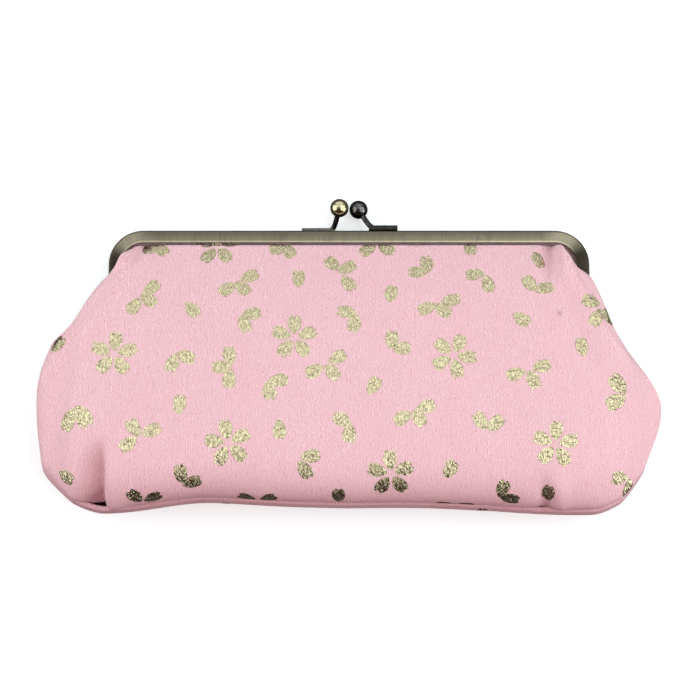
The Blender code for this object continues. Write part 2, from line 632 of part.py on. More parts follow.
def add_clasp(label, front, side, foot_start, foot_length, ball_forward, axes, shift):
    """A foot along the frame's top edge, the stem that rises from its inner end, and the ball on it."""
    foot_w = front * (MATING_GAP / 2 + CHANNEL_DEPTH / 2)
    ball = Vector((side * BALL_OFFSET, BALL_RISE, ball_forward))
    points, lean, end = clasp_stem_points(side, foot_w, ball, side * (foot_start + STEM_DIAMETER / 2))

    shape = bmesh.new()
    centre = Vector((side * (foot_start + foot_length / 2), FIT + FOOT_THICKNESS / 2, foot_w)) - shift
    size = Matrix.Diagonal((foot_length, FOOT_THICKNESS, FOOT_WIDTH, 1.0))
    bmesh.ops.create_cube(shape, size=1.0, matrix=Matrix.Translation(centre) @ size)
    foot = add_mesh(label + "_clasp_stem", bmesh_to_mesh(label + "_clasp_stem", shape), GUNMETAL, axes)
    rounding = foot.modifiers.new("rounding", "BEVEL")
    rounding.width = 0.0004
    rounding.segments = 2

    stem = tube_mesh("stem_" + label, [point - shift for point in points], STEM_DIAMETER, 12)
    add_boolean(foot, add_cutter("stem_" + label, stem, axes), "UNION")
    shade_smooth(foot)

    shape = bmesh.new()
    bmesh.ops.create_uvsphere(shape, u_segments=20, v_segments=12, radius=BALL_DIAMETER / 2)
    finish = BRIGHT_BRASS if front < 0 else GUNMETAL
    sphere = add_mesh(label + "_clasp_ball", bmesh_to_mesh(label + "_clasp_ball", shape), finish, axes)
    sphere.location = ball - shift
    depth = BALL_DIAMETER
    middle = end + lean * FIT - lean * depth / 2 - shift
    turn = Matrix.Translation(middle) @ lean.to_track_quat("Z", "Y").to_matrix().to_4x4()
    socket = cylinder_mesh("socket_" + label, STEM_DIAMETER / 2 + FIT, depth, 12, turn)
    add_boolean(sphere, add_cutter("socket_" + label, socket, axes), "DIFFERENCE")
    shade_smooth(sphere)


# Assembly

outer_front = panel_grid(FRONT_RIBS, CLOTH_W, (6, 8, 11), 14)
outer_back = panel_grid(BACK_RIBS, CLOTH_W, (6, 8, 11), 14)
lining_front = panel_grid(LINING_RIBS, LINING_W, (4, 5, 6), 9)
mirror_w = np.array([1.0, 1.0, -1.0])

middle = outer_front[:, outer_front.shape[1] // 2]
fullest = middle[np.argmax(middle[:, 2])]
TILT, RISE = resting_tilt(-fullest[1])

ball_top = BALL_RISE * math.cos(TILT) + BACK_BALL_FORWARD * math.sin(TILT) + BALL_DIAMETER / 2
seam_low = float(tipped(outer_front, TILT, RISE)[..., 1].min())
SHIFT = -(ball_top + seam_low) / 2

cloth_object("outer_front_panel", tipped(outer_front, TILT, RISE, SHIFT), CLOTH, CREPE, True)
cloth_object("outer_back_panel", flattened(tipped(outer_back * mirror_w, TILT, RISE, SHIFT), 0.0),
             CLOTH, CREPE, False)
cloth_object("lining_front_panel", tipped(lining_front, TILT, RISE, SHIFT), LINING, LINING_CLOTH, True)
cloth_object("lining_back_panel",
             flattened(tipped(lining_front * mirror_w, TILT, RISE, SHIFT), CLOTH + 2 * FIT),
             LINING, LINING_CLOTH, False)

bag_axes = add_empty("bag_axes", (0, SHIFT, RISE), (-TILT, 0, 0))
hinge = Vector((0, -HINGE_DROP, 0))
front_axes = add_empty("front_half_hinge", hinge, parent=bag_axes)

add_frame_half("back_frame", -1, bag_axes, hinge)
add_frame_half("front_frame", 1, bag_axes, hinge)
for rivet_name, rivet_side in (("left_hinge_rivet", -1), ("right_hinge_rivet", 1)):
    add_rivet(rivet_name, rivet_side, bag_axes)
add_paper_cord("back_paper_cord", -1, bag_axes)
add_paper_cord("front_paper_cord", 1, front_axes, (0.0, hinge.y))
add_clasp("back", -1, -1, BACK_FOOT_START, BACK_FOOT_LENGTH, BACK_BALL_FORWARD, bag_axes, Vector())
add_clasp("front", 1, 1, FRONT_FOOT_START, FRONT_FOOT_LENGTH, FRONT_BALL_FORWARD, front_axes, hinge)
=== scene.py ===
"""A kiss-lock clutch bag of pink crepe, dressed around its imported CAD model.

The bag lies on its back. Every piece is worked out in the bag's own plane first (x across, u up towards the
frame's top edge, w out of the front panel), as whole numpy arrays, and then tipped to the angle at which the
bag rests. The row frame is metres, +Z up out of the front panel, +Y towards the frame, +X to the right.
"""

from __future__ import annotations

import json
import logging
import math
from dataclasses import dataclass, field, replace
from enum import Enum

import bpy
import numpy as np
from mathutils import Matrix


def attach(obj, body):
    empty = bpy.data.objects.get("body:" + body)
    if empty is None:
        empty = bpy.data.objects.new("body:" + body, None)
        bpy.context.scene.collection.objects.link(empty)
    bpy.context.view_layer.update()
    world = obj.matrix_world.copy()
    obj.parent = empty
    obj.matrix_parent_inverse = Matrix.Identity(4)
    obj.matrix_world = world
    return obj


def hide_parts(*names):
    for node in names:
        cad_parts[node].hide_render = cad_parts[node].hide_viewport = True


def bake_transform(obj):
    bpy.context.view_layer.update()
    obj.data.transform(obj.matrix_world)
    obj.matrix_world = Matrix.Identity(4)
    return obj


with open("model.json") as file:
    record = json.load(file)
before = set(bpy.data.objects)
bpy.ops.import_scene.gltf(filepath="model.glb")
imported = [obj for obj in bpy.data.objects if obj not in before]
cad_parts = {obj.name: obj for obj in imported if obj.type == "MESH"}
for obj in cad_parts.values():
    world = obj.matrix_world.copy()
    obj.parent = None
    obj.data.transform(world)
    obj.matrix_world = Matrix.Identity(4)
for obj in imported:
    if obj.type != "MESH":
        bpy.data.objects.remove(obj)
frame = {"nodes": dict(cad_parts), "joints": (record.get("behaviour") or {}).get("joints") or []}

LOG = logging.getLogger("clutch_bag")
MM = 0.001
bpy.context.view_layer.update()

Socket = bpy.types.NodeSocket
Material = bpy.types.Material
Piece = bpy.types.Object
Array = np.ndarray
Pair = tuple[float, float]
Triple = tuple[float, float, float]


class Slot(Enum):
    """The record's material slots."""

    ANTIQUE_BRASS = "antique_brass"
    GUNMETAL = "gunmetal"
    BRIGHT_BRASS = "bright_brass"
    PINK_CREPE = "pink_crepe"
    LINING = "lining_cloth"


class Body(Enum):
    """The two rigid bodies that the frame's hinge joins."""

    BAG = "bag"
    FRONT_HALF = "front_half"


@dataclass(frozen=True)
class BagSizes:
    """Driving sizes of the bag in metres, the same as the solids have."""

    frame_width: float = 0.2100
    hinge_drop: float = 0.0380
    corner_radius: float = 0.0150
    channel_face: float = 0.0050
    channel_depth: float = 0.0051
    sheet: float = 0.0006
    outer_edge_radius: float = 0.0013
    mating_edge_radius: float = 0.0006
    lip_dip: float = 0.00015
    mating_gap: float = 0.0004
    channel_end_above_hinge: float = 0.0065
    bag_width: float = 0.2696
    bag_height: float = 0.1210
    puff: float = 0.0215
    cloth: float = 0.0010
    lining: float = 0.0005
    mouth_ease: float = 0.0008
    fit: float = 0.0003

    @property
    def half_width(self) -> float:
        """Half the frame's width."""
        return self.frame_width / 2

    @property
    def face_w(self) -> float:
        """How far the channel's face stands off the mid-plane."""
        return self.mating_gap / 2 + self.channel_depth

    @property
    def channel_end(self) -> float:
        """How far below the top edge the channels end."""
        return self.hinge_drop - self.channel_end_above_hinge

    @property
    def cloth_w(self) -> float:
        """Where the outer cloth lies inside the channel."""
        return self.face_w - self.lip_dip - self.sheet - self.fit

    @property
    def lining_w(self) -> float:
        """Where the lining lies inside the channel."""
        return self.cloth_w - self.cloth - self.fit


SIZES = BagSizes()


@dataclass(frozen=True)
class RestingPlane:
    """The bag's own plane, tipped so that its frame and its back panel both touch the table."""

    tilt: float
    rise: float
    shift: float

    @classmethod
    def from_hinge(cls, sizes: BagSizes, hinge: Triple) -> RestingPlane:
        """Find the tilt at which the hinge stands at its height while the frame's back edge touches z = 0.

        Args:
            sizes: the bag's sizes.
            hinge: a point on the hinge axis, in the row frame.

        Returns:
            The plane, found by halving the angle's interval.
        """
        low, high, halvings = 0.0, math.radians(30), 40
        edge = sizes.outer_edge_radius

        def rise_at(tilt: float) -> float:
            """Height of the mating line's top when the rounded back edge lies on the table."""
            return edge * (1 - math.sin(tilt)) + (sizes.face_w - edge) * math.cos(tilt)

        for _ in range(halvings):
            middle = (low + high) / 2
            if rise_at(middle) + sizes.hinge_drop * math.sin(middle) < hinge[2]:
                low = middle
            else:
                high = middle
        tilt = (low + high) / 2
        return cls(tilt, rise_at(tilt), hinge[1] + sizes.hinge_drop * math.cos(tilt))

    def to_row(self, points: Array) -> Array:
        """Tip points of the bag's plane into the row frame.

        Args:
            points: (..., 3) points (x, u, w).

        Returns:
            As many points (x, y, z).
        """
        x, u, w = np.moveaxis(np.asarray(points, float), -1, 0)
        y = u * math.cos(self.tilt) + w * math.sin(self.tilt) + self.shift
        z = w * math.cos(self.tilt) - u * math.sin(self.tilt) + self.rise
        return np.stack([x, y, z], axis=-1)


PLANE = RestingPlane.from_hinge(SIZES, tuple(frame["joints"][0]["pos_m"]))


def placed(name: str, data: bpy.types.ID) -> Piece:
    """A new object with this data, in the scene."""
    made = bpy.data.objects.new(name, data)
    bpy.context.scene.collection.objects.link(made)
    return made


@dataclass(frozen=True)
class PhotoCamera:
    """The camera straight above the bag; it also tells where a pixel of the photograph lands on a surface."""

    pixel: float = 0.0004375
    picture: int = 700
    centre_x: float = 0.00044
    centre_y: float = 0.0022
    plane_z: float = 0.0105
    distance: float = 0.75
    sensor_mm: float = 36.0
    nearest: float = 0.01

    @property
    def field(self) -> float:
        """Width of the photograph at the frame's height, in metres."""
        return self.pixel * self.picture

    def project(self, points: Array) -> Array:
        """Where points land in the photograph, by the pinhole rule.

        Args:
            points: (..., 3) row-frame points.

        Returns:
            (..., 2) pixels, x to the right and y down.
        """
        depth = self.plane_z + self.distance - points[..., 2]
        scale = self.distance / self.pixel / depth
        middle = self.picture / 2
        across = middle + (points[..., 0] - self.centre_x) * scale
        down = middle - (points[..., 1] - self.centre_y) * scale
        return np.stack([across, down], axis=-1)

    def place(self) -> None:
        """Create the camera and make it the scene's."""
        lens = bpy.data.cameras.new("photo_camera")
        lens.sensor_width = self.sensor_mm
        lens.lens = self.sensor_mm * self.distance / self.field
        lens.clip_start = self.nearest
        camera = placed("photo_camera", lens)
        camera.location = (self.centre_x, self.centre_y, self.plane_z + self.distance)
        bpy.context.scene.camera = camera


CAMERA = PhotoCamera()


# Meshes


def grid_faces(rows: int, columns: int, wrap: bool = False, flip: bool = False) -> Array:
    """Quads of a grid of points, row by row.

    Args:
        rows: how many rows of points.
        columns: how many points a row has.
        wrap: whether the last column joins the first one.
        flip: whether the quads face the other way.

    Returns:
        (n, 4) point numbers.
    """
    number = np.arange(rows * columns).reshape(rows, columns)
    right = np.roll(number, -1, axis=1) if wrap else number[:, 1:]
    left = number if wrap else number[:, :-1]
    quads = np.stack([left[:-1], left[1:], right[1:], right[:-1]], axis=-1).reshape(-1, 4)
    return quads[:, ::-1] if flip else quads


@dataclass
class Shell:
    """Points, faces and flat coordinates that are gathered into one mesh."""

    name: str
    points: list[Array] = field(default_factory=list)
    faces: list[list[int]] = field(default_factory=list)
    flat: list[Array] = field(default_factory=list)
    count: int = 0

    def add(self, points: Array, faces: list[list[int]], flat: Array | None = None) -> None:
        """Add one island.

        Args:
            points: (n, 3) points in the row frame.
            faces: faces as lists of point numbers within the island.
            flat: (n, 2) coordinates along the surface in metres, zeros where nothing reads them.
        """
        points = points.reshape(-1, 3)
        self.points.append(points)
        self.faces.extend([[int(k) + self.count for k in face] for face in faces])
        self.flat.append(np.zeros((len(points), 2)) if flat is None else flat.reshape(-1, 2))
        self.count += len(points)

    def build(self, finish: Material, smooth_degrees: float | None = None) -> Piece:
        """Make the object, with the flat coordinates as its UV map.

        Args:
            finish: the material.
            smooth_degrees: the bend past which an edge is sharp; open edges where not given.

        Returns:
            The object, in the scene.
        """
        mesh = bpy.data.meshes.new(self.name)
        mesh.from_pydata(np.concatenate(self.points).tolist(), [], self.faces)
        flat = np.concatenate(self.flat).astype(np.float32)
        corner = np.empty(len(mesh.loops), np.int32)
        mesh.loops.foreach_get("vertex_index", corner)
        layer = mesh.uv_layers.new(name="cloth")
        layer.data.foreach_set("uv", flat[corner].ravel())
        mesh.shade_smooth()
        if smooth_degrees is not None:
            mesh.set_sharp_from_angle(angle=math.radians(smooth_degrees))
        else:
            edge = np.empty(len(mesh.loops), np.int32)
            mesh.loops.foreach_get("edge_index", edge)
            rim = np.bincount(edge, minlength=len(mesh.edges)) == 1
            mesh.attributes.new("sharp_edge", "BOOLEAN", "EDGE").data.foreach_set("value", rim)
        mesh.materials.append(finish)
        return placed(self.name, mesh)


def add_wall(piece: Piece, thickness: float) -> None:
    """Give an open surface a wall on its inner side."""
    wall = piece.modifiers.new("wall", "SOLIDIFY")
    wall.thickness = thickness
    wall.offset = -1.0


def carry(piece: Piece, name: str, values: Array) -> None:
    """Let a piece's own points carry a number each, for its finish to read."""
    layer = piece.data.attributes.new(name, "FLOAT", "POINT")
    layer.data.foreach_set("value", values.ravel().astype(np.float32))


def seat(piece: Piece, node: str, body: Body) -> None:
    """Put a rigid piece in a node's place and on its body."""
    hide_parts(node)
    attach(piece, body.value)


def unit(vectors: Array) -> Array:
    """The vectors at length one; the shortest ones stay as they are."""
    return vectors / np.maximum(np.linalg.norm(vectors, axis=-1, keepdims=True), 1e-12)


def travelled(points: Array) -> Array:
    """How far each row of points lies from the first one, along the rows' own steps."""
    steps = np.linalg.norm(np.diff(points, axis=0), axis=-1)
    return np.concatenate([np.zeros_like(steps[:1]), np.cumsum(steps, axis=0)])


def sweep(path: Array, side: Array, up: Array, section: Array) -> Array:
    """Carry a section (n, 2) along a path: path + section x times side + section y times up."""
    return path[:, None] + section[None, :, :1] * side[:, None] + section[None, :, 1:] * up[:, None]


def closed_tube(shell: Shell, rings: Array, flip: bool = False) -> None:
    """Add a tube whose two ends are closed by one face each.

    Args:
        shell: takes the new faces.
        rings: (stations, points, 3) points in the row frame.
        flip: whether the faces turn the other way.
    """
    count, sides = rings.shape[:2]
    ends = [list(range(sides))[::-1], [(count - 1) * sides + k for k in range(sides)]]
    faces = grid_faces(count, sides, wrap=True, flip=flip).tolist()
    faces += [end[::-1] for end in ends] if flip else ends
    along = travelled(rings.mean(1))
    around = travelled(np.vstack([rings[0], rings[0][:1]]))[:-1]
    shell.add(rings, faces, np.stack(np.meshgrid(along, around, indexing="ij"), axis=-1))


def arc(centre: Pair, radius: float, start: float, end: float, steps: int) -> Array:
    """Points of an arc, angles in degrees, both ends included."""
    angle = np.radians(np.linspace(start, end, steps + 1))
    return np.stack([centre[0] + radius * np.cos(angle), centre[1] + radius * np.sin(angle)], axis=-1)


def eased(value: Array, start: float, end: float) -> Array:
    """0 before start, 1 past end, smooth between."""
    t = np.clip((value - start) / (end - start), 0.0, 1.0)
    return t * t * (3 - 2 * t)


def bell(value: Array, reach: float | Array, middle: float = 0.0) -> Array:
    """A bell curve of height 1: exp(-((value - middle) / reach)^2)."""
    return np.exp(-(((value - middle) / reach) ** 2))


# Material nodes

# Where most of a noise's values lie
NOISE_SPAN: Pair = (0.3, 0.7)


class NodeDesk:
    """A node tree, with one method for each kind of node that the finishes and the studio share."""

    def __init__(self, tree: bpy.types.NodeTree) -> None:
        """Work on an existing tree."""
        self.tree = tree

    @classmethod
    def emptied(cls, owner: Material | bpy.types.World) -> NodeDesk:
        """Work on the owner's tree, emptied first."""
        owner.use_nodes = True
        owner.node_tree.nodes.clear()
        return cls(owner.node_tree)

    def node(self, kind: str, inputs: dict[str | int, object] | None = None,
             **settings: object) -> bpy.types.Node:
        """Add a node.

        Args:
            kind: the node's type without its ShaderNode.
            inputs: values or sockets, by the name or the number of the input that takes them.
            settings: the node's own properties.

        Returns:
            The node.
        """
        made = self.tree.nodes.new("ShaderNode" + kind)
        for key, value in settings.items():
            setattr(made, key, value)
        for key, value in (inputs or {}).items():
            self.put(made.inputs[key], value)
        return made

    def put(self, socket: Socket, value: object) -> None:
        """Link a socket, or set its value; a colour needs no alpha.

        Args:
            socket: an input.
            value: a number, a colour or another node's output.
        """
        if isinstance(value, Socket):
            self.tree.links.new(value, socket)
        else:
            socket.default_value = (*value, 1.0) if socket.type == "RGBA" else value

    def maths(self, operation: str, first: object, second: object = 0.0) -> Socket:
        """One sum of two values."""
        return self.node("Math", {0: first, 1: second}, operation=operation).outputs[0]

    def remap(self, value: object, low: float, high: float, to_low: float = 0.0,
              to_high: float = 1.0) -> Socket:
        """A value's range low to high as to_low to to_high, eased at both ends and clamped."""
        ends = {"Value": value, "From Min": low, "From Max": high, "To Min": to_low, "To Max": to_high}
        return self.node("MapRange", ends, interpolation_type="SMOOTHSTEP").outputs["Result"]

    def mix(self, factor: object, first: object, second: object) -> Socket:
        """A colour between two."""
        return self.node("Mix", {0: factor, 6: first, 7: second}, data_type="RGBA").outputs[2]

    def over(self, under: object, colour: object, value: object, span: Pair, most: float = 1.0) -> Socket:
        """A colour laid over another where a value rises through a span, up to a share of most."""
        return self.mix(self.remap(value, *span, 0.0, most), under, colour)

    def ray(self, kind: str) -> Socket:
        """1 for one kind of ray, 0 for the others."""
        return self.node("LightPath").outputs[kind]


class FinishDesk(NodeDesk):
    """The nodes of a new material, around its Principled shader."""

    def __init__(self, name: str) -> None:
        """Start from a plain Principled shader."""
        self.material = bpy.data.materials.new(name)
        self.material.use_nodes = True
        super().__init__(self.material.node_tree)

    def surface(self, **values: object) -> Material:
        """Set or link the shader's sockets, base_color for Base Color, and hand over the material.

        Args:
            values: values or sockets by the shader's own names.

        Returns:
            The material.
        """
        sockets = self.tree.nodes["Principled BSDF"].inputs
        for key, value in values.items():
            self.put(sockets[key.replace("_", " ").title().replace("Ior", "IOR")], value)
        return self.material

    def scaled(self, vector: Socket, scale: Triple) -> Socket:
        """A vector times a scale."""
        return self.node("Mapping", {"Vector": vector, "Scale": scale}).outputs["Vector"]

    def flat_vector(self) -> Socket:
        """The piece's own flat coordinates in metres."""
        return self.node("UVMap", uv_map="cloth").outputs["UV"]

    def flat(self, across: float, along: float) -> Socket:
        """The flat coordinates, each times its own number."""
        return self.scaled(self.flat_vector(), (across, along, 1.0))

    def flat_pair(self) -> tuple[Socket, Socket]:
        """The flat coordinates one by one, in metres."""
        split = self.node("SeparateXYZ", {0: self.flat_vector()})
        return split.outputs["X"], split.outputs["Y"]

    def solid(self, *scale: float) -> Socket:
        """Object coordinates in metres, times the scale."""
        return self.scaled(self.node("TexCoord").outputs["Object"], scale)

    def noise(self, vector: Socket, detail: float = 2.0, roughness: float = 0.5,
              distortion: float = 0.0) -> Socket:
        """Noise from about 0.25 to 0.75."""
        dials = {"Vector": vector, "Scale": 1.0, "Detail": detail, "Roughness": roughness,
                 "Distortion": distortion}
        return self.node("TexNoise", dials).outputs["Fac"]

    def bump(self, height: Socket, distance: float) -> Socket:
        """A normal from a height; distance is the height's reach in metres."""
        return self.node("Bump", {"Height": height, "Distance": distance, "Strength": 1.0}).outputs["Normal"]

    def carried(self, name: str) -> Socket:
        """A number that the piece's own points carry, 0 where they carry none."""
        return self.node("Attribute", attribute_name=name).outputs["Fac"]


@dataclass(frozen=True)
class CrepeGrain:
    """The crepe's wrinkled grain: fine ridges that run down the cloth, waver, fork and fade out."""

    pitch: float = 1.00 * MM
    waver: float = 2.6
    waver_across: float = 1.9 * MM
    waver_along: float = 1.4 * MM
    fade_across: float = 1.0 * MM
    fade_along: float = 1.05 * MM
    fade_span: Pair = (0.32, 0.62)
    faintest: float = 0.25

    def height(self, desk: FinishDesk) -> Socket:
        """0 in the grooves to 1 on the crests.

        A sine across the cloth, its phase shifted by a noise, times a second noise that breaks the ridges up.

        Args:
            desk: where the nodes go.

        Returns:
            The height.
        """
        across, _ = desk.flat_pair()
        shift = desk.noise(desk.flat(1 / self.waver_across, 1 / self.waver_along), detail=1.0)
        turns = desk.maths("ADD", desk.maths("DIVIDE", across, self.pitch),
                           desk.maths("MULTIPLY", shift, self.waver))
        wave = desk.maths("SINE", desk.maths("MULTIPLY", turns, 2 * math.pi))
        patches = desk.noise(desk.flat(1 / self.fade_across, 1 / self.fade_along), detail=1.0)
        broken = desk.remap(patches, *self.fade_span, self.faintest, 1.0)
        ridge = desk.maths("MULTIPLY", wave, desk.maths("MULTIPLY", broken, 0.5))
        return desk.maths("ADD", ridge, 0.5)


@dataclass(frozen=True)
class CrepeFinish:
    """Pink crepe with its grain in relief, and in colour as painted light and shade."""

    # crest and groove: painted light and shade of the grain; groove also tints the drifts of dye
    crest: Triple = (0.852, 0.627, 0.670)
    groove: Triple = (0.745, 0.420, 0.481)
    smudge: Triple = (0.440, 0.245, 0.285)
    sheen: Triple = (1.0, 0.85, 0.88)
    relief: float = 0.112 * MM
    crest_span: Pair = (0.05, 0.75)
    drift_size: Pair = (28.0, 22.0)
    drift_span: Pair = NOISE_SPAN
    most_drift: float = 0.14
    grain: CrepeGrain = CrepeGrain()

    def colour(self, desk: FinishDesk, height: Socket) -> Socket:
        """Painted shade in the grain's grooves and painted light on its crests, with slow drifts of dye and
        the grey smudge.

        Args:
            desk: where the nodes go.
            height: the grain's height.

        Returns:
            The colour.
        """
        drift = desk.noise(desk.flat(*self.drift_size))
        # painted shade and light of the grain: deeper pink in its grooves, paler on its crests
        tone = desk.over(self.groove, self.crest, height, self.crest_span)
        dyed = desk.over(tone, self.groove, drift, self.drift_span, self.most_drift)
        return desk.mix(desk.carried("smudge"), dyed, self.smudge)

    def make(self) -> Material:
        """Build the material.

        Returns:
            The material.
        """
        desk = FinishDesk("pink_crepe_cloth")
        height = self.grain.height(desk)
        return desk.surface(base_color=self.colour(desk, height), roughness=0.85,
                            normal=desk.bump(height, self.relief), sheen_weight=0.12, sheen_tint=self.sheen,
                            specular_ior_level=0.2)


@dataclass(frozen=True)
class FoilFinish:
    """Gold foil printed on crepe: it lies on the crests, thins in the grooves and frays at a petal's rim."""

    gold: Triple = (0.640, 0.590, 0.385)
    dull: Triple = (0.430, 0.390, 0.240)
    relief: float = 0.215 * MM
    speck_size: Pair = (1500.0, 480.0)
    crest_share: float = 0.55
    speck_share: float = 0.9
    rim_span: Pair = (0.84, 1.02)
    rim_loss: float = 0.24
    kept_span: Pair = (0.34, 0.48)
    dull_span: Pair = (0.35, 0.65)
    cloth_roughness: float = 0.80
    foil_roughness: float = 0.27
    crepe: CrepeFinish = CrepeFinish()

    def make(self) -> Material:
        """Build the material.

        Returns:
            The material.
        """
        desk = FinishDesk("gold_foil_print")
        height = self.crepe.grain.height(desk)
        speck = desk.noise(desk.flat(*self.speck_size), detail=1.5)
        rub = desk.maths("ADD", desk.maths("MULTIPLY", height, self.crest_share),
                         desk.maths("MULTIPLY", speck, self.speck_share))
        fray = desk.remap(desk.carried("rim"), *self.rim_span, 0.0, self.rim_loss)
        kept = desk.remap(desk.maths("SUBTRACT", rub, fray), *self.kept_span)
        metal = desk.over(self.dull, self.gold, speck, self.dull_span)
        # the cloth between the foil takes the crepe's colour, painted grain shade included
        return desk.surface(base_color=desk.mix(kept, self.crepe.colour(desk, height), metal), metallic=kept,
                            roughness=desk.remap(kept, 0.0, 1.0, self.cloth_roughness, self.foil_roughness),
                            normal=desk.bump(height, self.relief))


@dataclass(frozen=True)
class BrassFinish:
    """Brushed antique brass with painted light: a painted highlight on the corners, a pale lip that is partly
    wear and partly painted highlight, and painted shade at the outer edge and the legs.

    The first flat coordinate runs along the bow, whose middle lies at the given place, and the second runs
    round the section from the lip. The spans are metres: those of the legs and corners from the bow's middle,
    and the others from the lip.
    """

    middle: float
    # dark tints the brush marks and bands and is painted shade at the outer edge; leg and edge are painted
    # shade, corner a painted highlight, lip wear and a painted highlight
    dark: Triple = (0.075, 0.068, 0.048)
    leg: Triple = (0.034, 0.030, 0.023)
    edge: Triple = (0.170, 0.155, 0.115)
    face: Triple = (0.300, 0.275, 0.195)
    lip: Triple = (0.640, 0.580, 0.420)
    corner: Triple = (0.440, 0.410, 0.300)
    face_span: Pair = (0.0005, 0.0042)
    outside_span: Pair = (0.0040, 0.0058)
    lip_span: Pair = (0.0005, 0.0009)
    corner_span: Pair = (0.084, 0.096)
    corner_highlight_share: float = 0.7
    leg_span: Pair = (0.097, 0.107)
    leg_lip_shade_span: Pair = (0.094, 0.106)
    brush_size: Pair = (4200.0, 240.0)
    streak_span: Pair = (0.35, 0.65)
    most_streak: float = 0.28
    scratch: float = 0.010 * MM
    band_size: Pair = (190.0, 60.0)
    band_span: Pair = (0.45, 0.70)
    most_band: float = 0.22
    roughness: Pair = (0.34, 0.50)

    def make(self) -> Material:
        """Build the material.

        Returns:
            The material.
        """
        desk = FinishDesk("brushed_antique_brass")
        along, around = desk.flat_pair()
        reach = desk.maths("ABSOLUTE", desk.maths("SUBTRACT", along, self.middle))
        marks = desk.noise(desk.flat(*self.brush_size), roughness=0.6)
        bands = desk.noise(desk.flat(*self.band_size), detail=3.0, roughness=0.65)
        # painted shade: the face darkens from the lip towards the outer edge
        face = desk.over(self.face, self.edge, around, self.face_span)
        # painted highlight on the corners
        corner_lit = desk.over(face, self.corner, reach, self.corner_span, self.corner_highlight_share)
        # painted shade on the legs
        leg_shaded = desk.over(corner_lit, self.leg, reach, self.leg_span)
        # painted shade at the outer edge and round the rest of the section
        outside = desk.over(leg_shaded, self.dark, around, self.outside_span)
        # pale lip: partly wear and partly a painted highlight
        lip_worn_and_lit = desk.over(self.lip, outside, around, self.lip_span)
        # painted shade: along the legs and corners the lip takes the shaded outer colour
        lipped = desk.over(lip_worn_and_lit, outside, reach, self.leg_lip_shade_span)
        streaked = desk.over(lipped, self.dark, marks, self.streak_span, self.most_streak)
        colour = desk.over(streaked, self.dark, bands, self.band_span, self.most_band)
        return desk.surface(base_color=colour, metallic=1.0, normal=desk.bump(marks, self.scratch),
                            roughness=desk.remap(marks, *NOISE_SPAN, *self.roughness))


@dataclass(frozen=True)
class MetalFinish:
    """A plated metal with faint tarnish in its colour and roughness."""

    name: str
    bright: Triple
    tarnish: Triple
    roughness: float
    roughness_shares: Pair = (0.8, 1.3)
    stain_size: float = 520.0
    stain_span: Pair = (0.40, 0.72)
    grit_size: float = 5200.0
    grit: float = 0.004 * MM

    def make(self) -> Material:
        """Build the material on object coordinates.

        Returns:
            The material.
        """
        desk = FinishDesk(self.name)
        stain = desk.noise(desk.solid(*[self.stain_size] * 3), detail=4.0, roughness=0.6)
        grit = desk.noise(desk.solid(*[self.grit_size] * 3), detail=1.0)
        colour = desk.over(self.bright, self.tarnish, stain, self.stain_span)
        least, most = (self.roughness * share for share in self.roughness_shares)
        roughness = desk.remap(stain, *NOISE_SPAN, least, most)
        return desk.surface(base_color=colour, metallic=1.0, roughness=roughness,
                            normal=desk.bump(grit, self.grit))


@dataclass(frozen=True)
class LiningFinish:
    """Plain-woven lining cloth: warp and weft as two crossed sets of fine threads."""

    thread: float = 0.38 * MM
    colour: Triple = (0.800, 0.640, 0.610)
    shade: Triple = (0.600, 0.440, 0.420)
    slub_size: Pair = (300.0, 2600.0)
    slub_span: Pair = (0.4, 0.7)
    most_slub: float = 0.25
    relief: float = 0.06 * MM

    def make(self) -> Material:
        """Build the material.

        Returns:
            The material.
        """
        desk = FinishDesk("plain_lining_cloth")
        warp, weft = (desk.maths("SINE", desk.maths("MULTIPLY", way, 2 * math.pi / self.thread))
                      for way in desk.flat_pair())
        weave = desk.remap(desk.maths("MULTIPLY", warp, weft), -1.0, 1.0)
        slub = desk.noise(desk.flat(*self.slub_size))
        tone = desk.mix(weave, self.shade, self.colour)
        colour = desk.over(tone, self.shade, slub, self.slub_span, self.most_slub)
        return desk.surface(base_color=colour, roughness=0.8, normal=desk.bump(weave, self.relief),
                            sheen_weight=0.15)


@dataclass(frozen=True)
class PaperFinish:
    """Twisted paper cord: fibres and a slanting twist."""

    pale: Triple = (0.640, 0.520, 0.380)
    dark: Triple = (0.420, 0.320, 0.210)
    twist_size: Triple = (900.0, 1600.0, 2400.0)
    twist_span: Pair = (0.35, 0.65)
    relief: float = 0.05 * MM

    def make(self) -> Material:
        """Build the material on object coordinates.

        Returns:
            The material.
        """
        desk = FinishDesk("twisted_paper")
        twist = desk.noise(desk.solid(*self.twist_size), distortion=0.4)
        colour = desk.over(self.dark, self.pale, twist, self.twist_span)
        return desk.surface(base_color=colour, roughness=0.9, normal=desk.bump(twist, self.relief))


GUNMETAL = MetalFinish("gunmetal_plating", (0.150, 0.145, 0.145), (0.060, 0.057, 0.058), 0.13)
# the front stem's gunmetal, darkened as painted shade
SHADED_GUNMETAL = MetalFinish("gunmetal_painted_shade", (0.052, 0.050, 0.048), (0.026, 0.025, 0.024), 0.20)
BRIGHT_BRASS = MetalFinish("bright_antique_brass", (0.62, 0.57, 0.36), (0.40, 0.36, 0.20), 0.14)


# The pouch's pattern: ribs that run from the frame's channel to the seam

DRAFT_X = (0.0, 100.0, 105.0, 137.2)
DRAFT_U = (0.0, 5.0, 31.5, 38.0, 41.2, 121.3)
DRAFT_W = (0.0, 5.2, 21.5)
DRAFT_LEG = 16.5
DRAFT_BOW = 15.0 * math.pi / 2
DRAFT_BAR = 90.0
EAR_RADIUS = 0.0032

# A rib's drafted place along the bow, and the points (x, u, w) in millimetres that pull the cloth
Rib = tuple[float, tuple[Triple, ...]]

